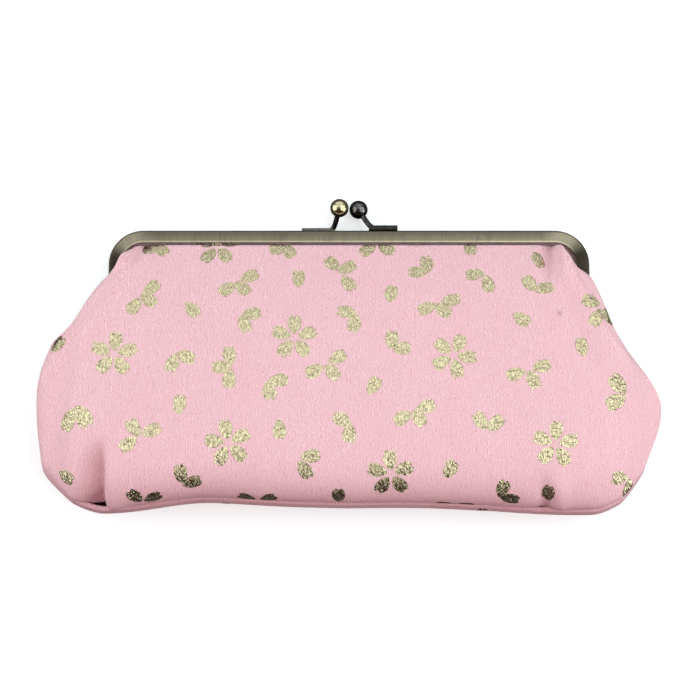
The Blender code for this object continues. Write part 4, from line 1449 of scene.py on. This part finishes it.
@dataclass
class Print:
    """Gold petals printed on one panel: thin patches that follow the cloth.

    A petal that reaches further from its middle than the longest one lies over the cloth's end.
    """

    name: str
    surface: Array
    flat: Array
    inwards: bool = False
    lift: float = 0.065 * MM
    skin: float = 0.03 * MM
    plane_reach: float = 11 * MM
    plane_facing: float = 0.25
    longest: float = 9 * MM
    seen_facing: float = 0.05
    petal_count: int = 5
    shape: PetalShape = PetalShape()

    def __post_init__(self) -> None:
        """Work out the normals that point out of the pouch."""
        self.normals = grid_normals(self.surface) * (-1.0 if self.inwards else 1.0)

    def point(self, at: Array) -> tuple[Array, Array]:
        """Surface points and unit normals at (row, column) places."""
        return sample(self.surface, at), unit(sample(self.normals, at))

    def over_plane(self, middle: Array, normal: Array, along: Array, targets: Array) -> Array:
        """Places (row, column) whose points lie over given points of a plane that touches the cloth.

        Args:
            middle: where the plane touches.
            normal: the cloth's unit normal there.
            along: the plane's first direction, before it is made square to the normal.
            targets: (n, 2) points in the plane.

        Returns:
            The places, found among the cloth that faces the plane near its middle.
        """
        first = unit(along - normal * along.dot(normal))
        second = np.cross(normal, first)
        away = self.surface - middle
        near = np.linalg.norm(away, axis=-1) < self.plane_reach
        near &= self.normals @ normal > self.plane_facing
        return locate(np.stack([away @ first, away @ second], axis=-1), targets, near)

    def petals(self, seen: Array) -> list[tuple[Array, Array, float]]:
        """Each petal's place (row, column), its outward direction and its size.

        Args:
            seen: for each grid point the value that says where it lies in the photograph, (rows, columns, 2).

        Returns:
            The petals of the whole blossoms, and then those of the sprays.
        """
        facing = (self.normals[..., 2] > self.seen_facing) != self.inwards
        found = []
        for blossom in BLOSSOMS:
            (middle,), (normal,) = self.point(locate(seen, np.array([[blossom.x, blossom.y]]), facing))
            turn = np.radians(blossom.angle + 360 / self.petal_count * np.arange(self.petal_count))
            ring = np.stack([np.cos(turn), np.sin(turn)], axis=-1) * self.shape.reach
            places = self.over_plane(middle, normal, np.array([1.0, 0.0, 0.0]), ring)
            found += [(at, out, 1.0) for at, out in zip(places, sample(self.surface, places) - middle)]
        for spray in SPRAYS:
            meet = sample(self.surface, locate(seen, np.array([spray.meet]), facing))
            places = locate(seen, np.array(spray.petals), facing)
            found += [(at, out, spray.size) for at, out in zip(places, sample(self.surface, places) - meet)]
        return found

    def build(self, seen: Array, finish: Material) -> Piece:
        """Lay every petal on the panel as one piece, its points dropped on the cloth from its own plane.

        Args:
            seen: each grid point's place in the photograph.
            finish: the material.

        Returns:
            The print.
        """
        shell = Shell(self.name)
        shape, faces = self.shape.points(), self.shape.faces()
        for at, out, size in self.petals(seen):
            (middle,), (normal,) = self.point(at[None])
            places = self.over_plane(middle, normal, out, shape * size)
            points, normals = self.point(places)
            if np.linalg.norm(points - middle, axis=-1).max() > self.longest:
                LOG.info("a petal of %s lies over the cloth's end and is left out", self.name)
                continue
            shell.add(points + normals * self.lift, faces, sample(self.flat, places))
        piece = shell.build(finish)
        carry(piece, "rim", np.tile(self.shape.rim(), len(shell.points)))
        add_wall(piece, self.skin)
        return piece


# The bag's sub-assemblies


@dataclass(frozen=True)
class Panel:
    """One sewn panel: the node that it replaces, its side, slot, thickness and least height over the table.

    A front panel only has its transform baked into its points; its turning span over u is tipped into the row
    frame and not used.
    """

    name: str
    node: str
    front: bool
    slot: Slot
    thickness: float
    table_gap: float = 0.0
    turning_span: Pair = (-0.078, -0.024)

    def face(self, grid: Array) -> Array:
        """The outer face in the row frame; a back panel is mirrored and pressed flat by the table.

        Args:
            grid: (rows, columns, 3) points of the outer face in the bag's plane.

        Returns:
            The points in the row frame.
        """
        if self.front:
            return PLANE.to_row(grid)
        face = PLANE.to_row(grid * np.array([1.0, 1.0, -1.0]))
        face[..., 2] = np.maximum(face[..., 2], self.table_gap)
        return face

    def join(self, piece: Piece) -> None:
        """Attach a back panel, or the print on it, to the bag's body; a front one only has its transform
        baked.

        Args:
            piece: the panel or its print.
        """
        if self.front:
            low, high = PLANE.to_row(np.array([[0.0, u, 0.0] for u in self.turning_span]))
            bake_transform(piece)
        else:
            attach(piece, Body.BAG.value)

    def build(self, face: Array, flat: Array, finish: Material) -> Piece:
        """The panel from its outer face, with the cloth's thickness inside it.

        Args:
            face: the outer face in the row frame.
            flat: its flat coordinates.
            finish: the material.

        Returns:
            The panel.
        """
        shell = Shell(self.name)
        shell.add(face, grid_faces(*face.shape[:2], flip=not self.front).tolist(), flat)
        piece = shell.build(finish)
        add_wall(piece, self.thickness)
        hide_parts(self.node)
        self.join(piece)
        LOG.info(self.name)
        return piece


OUTER_FRONT = Panel("crepe_front", "outer_front_panel", True, Slot.PINK_CREPE, SIZES.cloth)
OUTER_BACK = Panel("crepe_back", "outer_back_panel", False, Slot.PINK_CREPE, SIZES.cloth, 0.07 * MM)
LINING_FRONT = Panel("lining_front", "lining_front_panel", True, Slot.LINING, SIZES.lining)
LINING_BACK = Panel("lining_back", "lining_back_panel", False, Slot.LINING, SIZES.lining,
                    SIZES.cloth + 2 * SIZES.fit)


@dataclass(frozen=True)
class Tuck:
    """How far a panel's seam is drawn in, how far up, and how the cloth next to it swells.

    The depth, the reach, the swell and the span are metres; the swell's place and width are reaches.
    """

    depth: float
    reach: float
    swell: float
    swell_place: float = 2.2
    swell_width: float = 1.2
    corner_share: float = 0.25
    low_span: Pair = (0.075, 0.105)

    def apply(self, grid: Array) -> Array:
        """Draw the seam in between the panels, so that the back panel shows as a rolled edge below it.

        Args:
            grid: a panel's outer face.

        Returns:
            The grid, moved level along each column's way in by a bell curve of the run from the seam, less
            another for the swell; up the sides, away from the low seam, only a share of it.
        """
        run = travelled(grid[::-1])[::-1] / self.reach
        inward = self.depth * bell(run, 1.0) - self.swell * bell(run, self.swell_width, self.swell_place)
        low = eased(-grid[-1, :, 1], *self.low_span)
        share = self.corner_share + (1 - self.corner_share) * low
        return grid + level_way(grid[grid.shape[0] // 2] - grid[-1]) * (inward * share)[..., None]


def level_way(way: Array) -> Array:
    """Unit vectors along the ways, level in the bag's plane."""
    return unit(way * np.array([1.0, 1.0, 0.0]))


@dataclass
class Pouch:
    """The outer panels, their print and the linings.

    A gather is a share, a size in metres and a phase. The starts and ends are spans of the rows, as shares of
    them. The seam allowance is heights over the mid-plane and depths inwards, in millimetres, and its way in
    is taken from some rows before the seam. The smudge's place and reach are pixels of the photograph.
    """

    columns: tuple[int, int, int] = (34, 34, 78)
    rows: int = 108
    lining_columns: tuple[int, int, int] = (10, 12, 26)
    lining_rows: int = 40
    lining_rounds: int = 120
    fold_room: float = 4.0
    deep_fold: float = -1.0
    gather: float = 0.22 * MM
    gathers: tuple[Triple, ...] = ((1.0, 0.0042, 0.0), (0.6, 0.0071, 1.3), (0.5, 0.0023, 0.4))
    gather_start: Pair = (0.012, 0.05)
    gather_end: Pair = (0.08, 0.30)
    fold_start: Pair = (0.01, 0.045)
    fold_end: Pair = (0.95, 1.0)
    fold_loss: float = 0.75
    front_tuck: Tuck = Tuck(2.9 * MM, 6.0 * MM, 0.0)
    back_tuck: Tuck = Tuck(1.2 * MM, 1.3 * MM, 0.25 * MM)
    allowance: tuple[Pair, ...] = ((0.22, 0.05), (0.10, 0.7), (0.10, 2.0))
    allowance_from: int = -24
    smudge_place: Pair = (559.6, 313.2)
    smudge_reach: float = 2.4
    smudge_depth: float = 0.8

    def rolled(self, grid: Array) -> Array:
        """Add rows past the seam end, turned in between the panels as a seam allowance.

        Args:
            grid: (rows, columns, 3) points of the outer face in the bag's plane.

        Returns:
            The grid with its new rows.
        """
        last = grid[-1]
        inward = level_way(grid[self.allowance_from] - last)
        rows = []
        for height, depth in self.allowance:
            row = last + inward * depth * MM
            row[:, 2] = height * MM
            rows.append(row[None])
        return np.concatenate([grid, *rows])

    def gathered(self, grid: Array) -> Array:
        """Ease the cloth in small gathers just below the frame: three sines that fade down the panel.

        Args:
            grid: (rows, columns, 3) points of the outer face in the bag's plane.

        Returns:
            The grid, gathered.
        """
        wave = sum(share * np.sin(grid[..., 0] / size + phase) for share, size, phase in self.gathers)
        below = np.arange(grid.shape[0])[:, None] / grid.shape[0]
        moved = grid.copy()
        start, rest = eased(below, *self.gather_start), 1 - eased(below, *self.gather_end)
        moved[..., 2] += self.gather * wave * start * rest
        return moved

    def creased(self, grid: Array, folds: tuple[Fold, ...]) -> Array:
        """Lift the folds off the cloth along its normals, fading out at the channel and at the seam.

        Args:
            grid: (rows, columns, 3) points of the outer face in the bag's plane.
            folds: what to lift.

        Returns:
            The grid, creased.
        """
        below = np.arange(grid.shape[0])[:, None] / grid.shape[0]
        hold = eased(below, *self.fold_start) * (1 - self.fold_loss * eased(below, *self.fold_end))
        lift = sum(fold.lift(grid[..., 0], grid[..., 1]) for fold in folds) * hold
        return grid + grid_normals(grid) * lift[..., None]

    def outer_front(self, crepe: Material, foil: Material) -> None:
        """Build the front panel with its smudge, and its print.

        Args:
            crepe: the cloth.
            foil: the print.
        """
        grid = panel_grid(FRONT_RIBS, SIZES.cloth_w, self.columns, self.rows)
        grid = Mouth().apply(self.creased(grid, FRONT_FOLDS), places_along(self.columns))
        grid = self.rolled(self.front_tuck.apply(self.gathered(grid)))
        face, flat = OUTER_FRONT.face(grid), FlatLay().lay(grid)
        panel = OUTER_FRONT.build(face, flat, crepe)
        seen = CAMERA.project(face)
        apart = np.linalg.norm(seen - np.array(self.smudge_place), axis=-1)
        carry(panel, "smudge", self.smudge_depth * bell(apart, self.smudge_reach))
        OUTER_FRONT.join(Print("front_blossoms", face, flat).build(seen, foil))

    def outer_back(self, crepe: Material, foil: Material) -> None:
        """Build the back panel, flat where it lies on the table, with the print turned half round.

        Args:
            crepe: the cloth.
            foil: the print.
        """
        grid = panel_grid(BACK_RIBS, SIZES.cloth_w, self.columns, self.rows)
        grid = self.rolled(self.back_tuck.apply(grid))
        face, flat = OUTER_BACK.face(grid), FlatLay().lay(grid)
        OUTER_BACK.build(face, flat, crepe)
        seen = CAMERA.project(face)
        turned = seen.max((0, 1)) + seen.min((0, 1)) - seen
        OUTER_BACK.join(Print("back_blossoms", face, flat, inwards=True).build(turned, foil))

    def linings(self, finish: Material) -> None:
        """Build both linings; the front one follows the deep folds, widened, and dips at the channel.

        Args:
            finish: the material.
        """
        plain = panel_grid(LINING_RIBS, SIZES.lining_w, self.lining_columns, self.lining_rows)
        room = self.fold_room
        folds = tuple(replace(fold, left=fold.left + room, right=fold.right + room) for fold in FRONT_FOLDS
                      if fold.height < self.deep_fold)
        grid = self.creased(plain, folds)
        grid[1, :, 2] -= Mouth().lining_groove * MM
        flat = FlatLay(self.lining_rounds).lay(grid)
        LINING_FRONT.build(LINING_FRONT.face(grid), flat, finish)
        LINING_BACK.build(LINING_BACK.face(plain), flat, finish)


@dataclass
class ChannelFrame:
    """The two bent channels, their riveting ears and the rivets.

    The crown is where the section's face is highest, as a share of its width, and the lip is rolled past the
    face's edge, with its tip drawn back. An ear starts over the channel's end, is straight down to a neck
    past it, and narrows to a waist and a join that are shares of the disc's radius.
    """

    rivet_radius: float = 0.0010
    rivet_head: float = 0.0020
    rivet_dome: float = 0.0008
    clench: Pair = (0.85, 0.8)
    lip_roll: float = 0.0005
    lip_back: float = 0.0001
    lip_round: Pair = (0.75, 0.25)
    crown: float = 0.45
    crown_rise: float = 0.00004
    ear_inset: float = 0.00005
    ear_start: float = 0.0022
    ear_neck: float = 0.0008
    ear_waist: float = 0.82
    ear_join: float = 0.57
    neck_gap: float = 0.0002
    disc_end: float = 0.9995
    jog_run: float = 1.5
    columns: tuple[int, int, int] = (3, 28, 24)

    @property
    def half_length(self) -> float:
        """Length of the bow's middle line from a leg's end to the middle of the bar."""
        turn = (SIZES.corner_radius - SIZES.channel_face / 2) * math.pi / 2
        return SIZES.channel_end + turn + SIZES.half_width - 2 * SIZES.corner_radius

    def section(self) -> Array:
        """Closed outline of the folded sheet, from the lip's tip: x off the edge, y off the mating face.

        Returns:
            (n, 2) points in metres.
        """
        s = SIZES
        top, bend, mating = s.channel_depth, s.outer_edge_radius, s.mating_edge_radius
        crown, edge, tip = self.crown * s.channel_face, s.channel_face + self.lip_roll, top - s.lip_dip
        t = np.linspace(0, 1, 7)[:, None]
        dome = np.array([edge - self.lip_back, tip]) * (1 - t) + np.array([crown, top]) * t
        dome[:, 1] += self.crown_rise * np.sin(np.pi * t[:, 0])
        return np.concatenate([
            dome,
            arc((bend, top - bend), bend, 90, 180, 10),
            arc((mating, mating), mating, 180, 270, 5),
            [(s.channel_face, 0), (s.channel_face, s.sheet), (s.sheet, s.sheet)],
            arc((bend, top - bend), bend - s.sheet, 180, 90, 6),
            [(crown, top - s.sheet), (edge - self.lip_back, tip - s.sheet)],
            [(edge, tip - share * s.sheet) for share in self.lip_round],
        ])

    def channel(self, shell: Shell, front: int) -> None:
        """Carry the section round the bow.

        Args:
            shell: takes the new faces.
            front: 1 for the front half, -1 for the back one.
        """
        half = stations(self.columns, spread=1.0)
        rings = []
        for depth, height in self.section():
            left = channel_line(half, depth)
            line = np.concatenate([left, left[-2::-1] * np.array([-1.0, 1.0])])
            rings.append(np.insert(line, 2, (height + SIZES.mating_gap / 2) * front, axis=-1))
        closed_tube(shell, PLANE.to_row(np.stack(rings, axis=1)), flip=front < 0)

    def ear(self, shell: Shell, side: int, front: int) -> None:
        """A flat ear off one leg's outer wall: a strip that ends in a disc round the rivet.

        Its low and high edges are functions of u: the strip's straight edges, joined to the disc's circle.

        Args:
            shell: takes the new faces.
            side: 1 for the right side, -1 for the left one.
            front: 1 for the front half, -1 for the back one.
        """
        s, radius, drop = SIZES, EAR_RADIUS, SIZES.hinge_drop
        near, far = s.mating_gap / 2 + self.ear_inset, s.face_w - s.outer_edge_radius - self.ear_inset
        neck = s.channel_end + self.ear_neck
        u = -np.concatenate([np.linspace(s.channel_end - self.ear_start, neck, 5),
                             np.linspace(neck + self.neck_gap, drop + radius, 30)[:-1],
                             [drop + radius * self.disc_end]])
        circle = np.sqrt(np.maximum(radius**2 - (u + drop) ** 2, 0.0))
        high = np.interp(-u, [neck, drop - radius * self.ear_join], [far, radius * self.ear_waist])
        high = np.where(u < -drop + radius * self.ear_join, circle, high)
        low = np.where(np.abs(u + drop) <= radius, np.minimum(near, -circle), near)
        jog = 0.0 if front > 0 else s.sheet + s.fit
        step = jog * np.clip((-s.channel_end - s.fit - u) / (self.jog_run * (s.sheet + s.fit)), 0, 1)
        face = s.half_width - self.ear_inset - step
        back = face - (s.sheet - 2 * self.ear_inset)
        corners = [(back, low), (face, low), (face, high), (back, high)]
        rings = np.stack([np.stack([x * side, u, w * front], axis=-1) for x, w in corners], axis=1)
        closed_tube(shell, PLANE.to_row(rings), flip=side * front > 0)

    def half(self, name: str, node: str, front: int, finish: Material) -> None:
        """One half of the frame: a channel and its two ears.

        Args:
            name: the piece's name.
            node: the node that it replaces.
            front: 1 for the front half, -1 for the back one.
            finish: the material.
        """
        shell = Shell(name)
        self.channel(shell, front)
        for side in (-1, 1):
            self.ear(shell, side, front)
        seat(shell.build(finish, 32), node, Body.FRONT_HALF if front > 0 else Body.BAG)

    def rivet(self, name: str, node: str, side: int, finish: Material) -> None:
        """A turned rivet through both ears, with a domed head outside and a clenched one inside.

        Args:
            name: the piece's name.
            node: the node that it replaces.
            side: 1 for the right side, -1 for the left one.
            finish: the material.
        """
        fit = SIZES.fit
        inner = -2 * (SIZES.sheet + fit)
        clench = np.array(self.clench) * (self.rivet_head, self.rivet_dome)
        profile = np.concatenate([arc((0, 0), 1.0, 90, 0, 8) * (self.rivet_head, self.rivet_dome) + (0, fit),
                                  [(self.rivet_radius, fit), (self.rivet_radius, inner)],
                                  arc((0, 0), 1.0, 0, -90, 6) * clench + (0, inner)])
        angle = np.linspace(0, 2 * math.pi, 28, endpoint=False)
        radius, out = profile[:, :1], profile[:, 1:]
        x = (SIZES.half_width + out + 0 * angle) * side
        points = np.stack([x, -SIZES.hinge_drop + radius * np.cos(angle), radius * np.sin(angle)], axis=-1)
        shell = Shell(name)
        closed_tube(shell, PLANE.to_row(points), flip=side < 0)
        seat(shell.build(finish, 40), node, Body.BAG)

    def build(self, finish: Material) -> None:
        """Build both halves and both rivets.

        Args:
            finish: the material.
        """
        self.half("back_channel", "back_frame", -1, finish)
        self.half("front_channel", "front_frame", 1, finish)
        self.rivet("left_rivet", "left_hinge_rivet", -1, finish)
        self.rivet("right_rivet", "right_hinge_rivet", 1, finish)
        LOG.info("frame halves and rivets")


@dataclass(frozen=True)
class ClaspHalf:
    """One side of the twin-ball clasp, in the bag's plane.

    The stem leaves its foot level, over a start behind the turn, and arrives at the ball along its lean. The
    foot's section is a superellipse that eases to a smaller one over its ends.
    """

    label: str
    front: int
    side: int
    foot_start: float
    foot_length: float
    ball_forward: float
    ball_diameter: float = 0.0081
    ball_rise: float = 0.0102
    stem_diameter: float = 0.0023
    stem_in_ball: float = 0.0024
    stem_back: float = 0.0016
    stem_ahead: float = 0.0012
    stem_up: float = 0.0004
    stem_arrival: float = 0.0042
    foot_thickness: float = 0.0022
    foot_width: float = 0.0030
    foot_power: float = 0.22
    foot_end: float = 0.00035
    foot_end_size: float = 0.86

    @property
    def foot_middle(self) -> Pair:
        """The foot's middle (u, w)."""
        off_plane = (SIZES.mating_gap + SIZES.channel_depth) / 2
        return SIZES.fit + self.foot_thickness / 2, self.front * off_plane

    def ball_centre(self) -> Array:
        """The ball's centre (x, u, w)."""
        return np.array([self.side * (self.ball_diameter + SIZES.fit) / 2, self.ball_rise, self.ball_forward])

    def stem_line(self) -> Array:
        """The stem's middle line: a cubic curve from inside the foot up into the ball.

        Returns:
            (n, 3) points of the bag's plane.
        """
        turn = np.array([self.side * (self.foot_start + self.stem_diameter / 2), *self.foot_middle])
        lean = unit(self.ball_centre() - turn)
        end = self.ball_centre() - lean * (self.ball_diameter / 2 - self.stem_in_ball)
        start = turn + (self.side * self.stem_back, 0.0, 0.0)
        rising = turn + (-self.side * self.stem_ahead, self.stem_up, 0.0)
        arriving = end - lean * self.stem_arrival
        t = np.linspace(0, 1, 29)[:, None]
        return (start * (1 - t) ** 3 + rising * 3 * t * (1 - t) ** 2
                + arriving * 3 * t * t * (1 - t) + end * t**3)

    def stem(self, shell: Shell) -> None:
        """A round wire along the stem's line, its cross-section square to the line.

        Args:
            shell: takes the new faces.
        """
        line = self.stem_line()
        along = unit(np.gradient(line, axis=0))
        side = unit(np.cross(along, np.array([0.0, 0.0, 1.0])))
        circle = arc((0, 0), self.stem_diameter / 2, 0, 360, 24)[:-1]
        closed_tube(shell, PLANE.to_row(sweep(line, side, np.cross(side, along), circle)), flip=True)

    def foot(self, shell: Shell) -> None:
        """A bar with softened edges: a superellipse section whose size eases off over both ends.

        Args:
            shell: takes the new faces.
        """
        spans = ((0, 0.03, 5), (0.05, 0.95, 9), (0.97, 1, 5))
        t = np.concatenate([np.linspace(*span) for span in spans])[:, None]
        end = np.clip(np.minimum(t, 1 - t) * self.foot_length / self.foot_end, 0, 1)
        size = self.foot_end_size + (1 - self.foot_end_size) * np.sqrt(1 - (1 - end) ** 2)
        angle = np.linspace(0, 2 * math.pi, 40, endpoint=False)
        u, w = (np.sign(wave) * np.abs(wave) ** self.foot_power * width / 2
                for wave, width in ((np.sin(angle), self.foot_thickness), (np.cos(angle), self.foot_width)))
        middle_u, middle_w = self.foot_middle
        x = self.side * (self.foot_start + self.foot_length * t) + 0 * angle
        rings = np.stack([x, middle_u + size * u, middle_w + size * w], axis=-1)
        closed_tube(shell, PLANE.to_row(rings), flip=self.side < 0)

    def ball(self, shell: Shell) -> None:
        """A sphere by latitude and longitude, its poles closed by small faces.

        Args:
            shell: takes the new faces.
        """
        latitude = np.radians(np.linspace(-89.5, 89.5, 40))[:, None]
        longitude = np.linspace(0, 2 * math.pi, 56, endpoint=False)
        directions = np.stack([np.cos(latitude) * np.cos(longitude), np.cos(latitude) * np.sin(longitude),
                               np.sin(latitude) + 0 * longitude], axis=-1)
        closed_tube(shell, PLANE.to_row(self.ball_centre() + directions * self.ball_diameter / 2), flip=True)

    def build(self, metal: Material, ball_metal: Material, ball_slot: Slot) -> None:
        """Build the stem with its foot, and the ball.

        Args:
            metal: the stem's material.
            ball_metal: the ball's.
            ball_slot: not used.
        """
        body = Body.FRONT_HALF if self.front > 0 else Body.BAG
        stem_shell, ball_shell = Shell(self.label + "_catch"), Shell(self.label + "_ball")
        self.foot(stem_shell)
        self.stem(stem_shell)
        self.ball(ball_shell)
        seat(stem_shell.build(metal, 30), self.label + "_clasp_stem", body)
        seat(ball_shell.build(ball_metal), self.label + "_clasp_ball", body)
        LOG.info("%s clasp half", self.label)


BACK_CLASP = ClaspHalf("back", -1, -1, 0.0061, 0.0147, 0.0040)
FRONT_CLASP = ClaspHalf("front", 1, 1, 0.0087, 0.0126, 0.0008)


# The studio


@dataclass(frozen=True)
class SoftBox:
    """A square lamp that faces the bag."""

    name: str
    place: Triple
    size: float
    watts: float

    def hang(self) -> None:
        """Create the lamp, turned to the origin."""
        lamp = bpy.data.lights.new(self.name, "AREA")
        lamp.size = self.size
        lamp.energy = self.watts
        stand = placed(self.name, lamp)
        x, y, z = self.place
        stand.location = self.place
        stand.rotation_euler = (math.atan2(math.hypot(x, y), z), 0.0, math.atan2(-y, -x) - math.pi / 2)


@dataclass
class Studio:
    """A white floor that keeps the shadow, four softboxes and a grey sky, dark near the floor."""

    floor_reach: float = 0.8
    floor_below: float = 0.0002
    floor_seen: Triple = (0.74, 0.82, 0.82)
    floor_bounce: float = 0.10
    floor_glow: float = 0.46
    sky: float = 0.34
    horizon: float = 0.04
    horizon_sines: Pair = (0.10, 0.45)
    near_side: Triple = (0.95, 0.20, 0.22)
    near_glint: Triple = (0.22, 0.12, 0.09)
    near_sines: Pair = (-0.55, 0.22)
    far_glint: float = 0.62
    far_sines: Pair = (0.30, 0.85)
    lamps: tuple[SoftBox, ...] = (
        SoftBox("top_softbox", (0.0, 0.72, 0.76), 1.40, 4.2),
        SoftBox("left_softbox", (-0.96, 0.08, 0.50), 1.10, 8.0),
        SoftBox("right_softbox", (0.76, 0.02, 0.74), 1.20, 8.0),
        SoftBox("low_softbox", (1.02, -0.30, 0.22), 0.60, 2.6),
    )

    def floor(self) -> None:
        """Lay the floor: a diffuse sheet, pale to the camera and dark to metals, with a glow up to white."""
        material = bpy.data.materials.new("white_floor")
        desk = NodeDesk.emptied(material)
        seen = desk.ray("Is Camera Ray")
        tone = desk.mix(seen, [self.floor_bounce] * 3, self.floor_seen)
        diffuse = desk.node("BsdfDiffuse", {"Color": tone})
        glow = desk.node("Emission", {"Strength": desk.maths("MULTIPLY", seen, self.floor_glow)})
        both = desk.node("AddShader", {0: diffuse.outputs[0], 1: glow.outputs[0]})
        desk.node("OutputMaterial", {"Surface": both.outputs[0]})
        mesh = bpy.data.meshes.new("floor")
        corners = [(x * self.floor_reach, y * self.floor_reach, -self.floor_below)
                   for x, y in ((-1, -1), (1, -1), (1, 1), (-1, 1))]
        mesh.from_pydata(corners, [], [(0, 1, 2, 3)])
        mesh.materials.append(material)
        placed("floor", mesh)

    def sky_dome(self) -> None:
        """Light the scene from a grey sky, dark near the floor and pink on the -Y side; white to the camera.

        Glossy rays see a brighter sky on the +Y side, down to the floor. The spans are sines of angles.
        """
        world = bpy.data.worlds.new("studio")
        bpy.context.scene.world = world
        desk = NodeDesk.emptied(world)
        way = desk.node("SeparateXYZ", {0: desk.node("TexCoord").outputs["Generated"]}).outputs
        glossy = desk.ray("Is Glossy Ray")
        near = desk.mix(glossy, self.near_side, self.near_glint)
        tint = desk.over(near, (1.0, 1.0, 1.0), way["Y"], self.near_sines)
        far = desk.maths("MULTIPLY", glossy, desk.remap(way["Y"], *self.far_sines, 0.0, self.far_glint))
        level = desk.remap(way["Z"], *self.horizon_sines, self.horizon, self.sky)
        back = desk.node("Background", {"Color": tint, "Strength": desk.maths("MAXIMUM", level, far)})
        white = desk.node("Background", {"Color": (1.0, 1.0, 1.0)})
        seen = {0: desk.ray("Is Camera Ray"), 1: back.outputs[0], 2: white.outputs[0]}
        desk.node("OutputWorld", {"Surface": desk.node("MixShader", seen).outputs[0]})

    def build(self) -> None:
        """Set up floor, sky, lamps, camera and the view transform."""
        self.floor()
        self.sky_dome()
        for lamp in self.lamps:
            lamp.hang()
        CAMERA.place()
        bpy.context.scene.view_settings.view_transform = "Standard"
        LOG.info("studio")


def dress_cords() -> None:
    """Give the paper cords in the channels their finish."""
    paper = PaperFinish().make()
    for name in ("back_paper_cord", "front_paper_cord"):
        cord = frame["nodes"][name]
        cord.data.materials.clear()
        cord.data.materials.append(paper)
    LOG.info("paper cords")


def main() -> None:
    """Build the bag around the frame, then the studio."""
    crepe, foil = CrepeFinish().make(), FoilFinish().make()
    pouch = Pouch()
    pouch.outer_front(crepe, foil)
    pouch.outer_back(crepe, foil)
    pouch.linings(LiningFinish().make())
    bow = ChannelFrame()
    bow.build(BrassFinish(bow.half_length).make())
    gunmetal = GUNMETAL.make()
    BACK_CLASP.build(gunmetal, BRIGHT_BRASS.make(), Slot.BRIGHT_BRASS)
    # the front stem takes the gunmetal darkened as painted shade
    FRONT_CLASP.build(SHADED_GUNMETAL.make(), gunmetal, Slot.GUNMETAL)
    dress_cords()
    Studio().build()


if __name__ == "__main__":
    logging.basicConfig(level=logging.INFO, format="%(name)s: %(message)s")
    main()
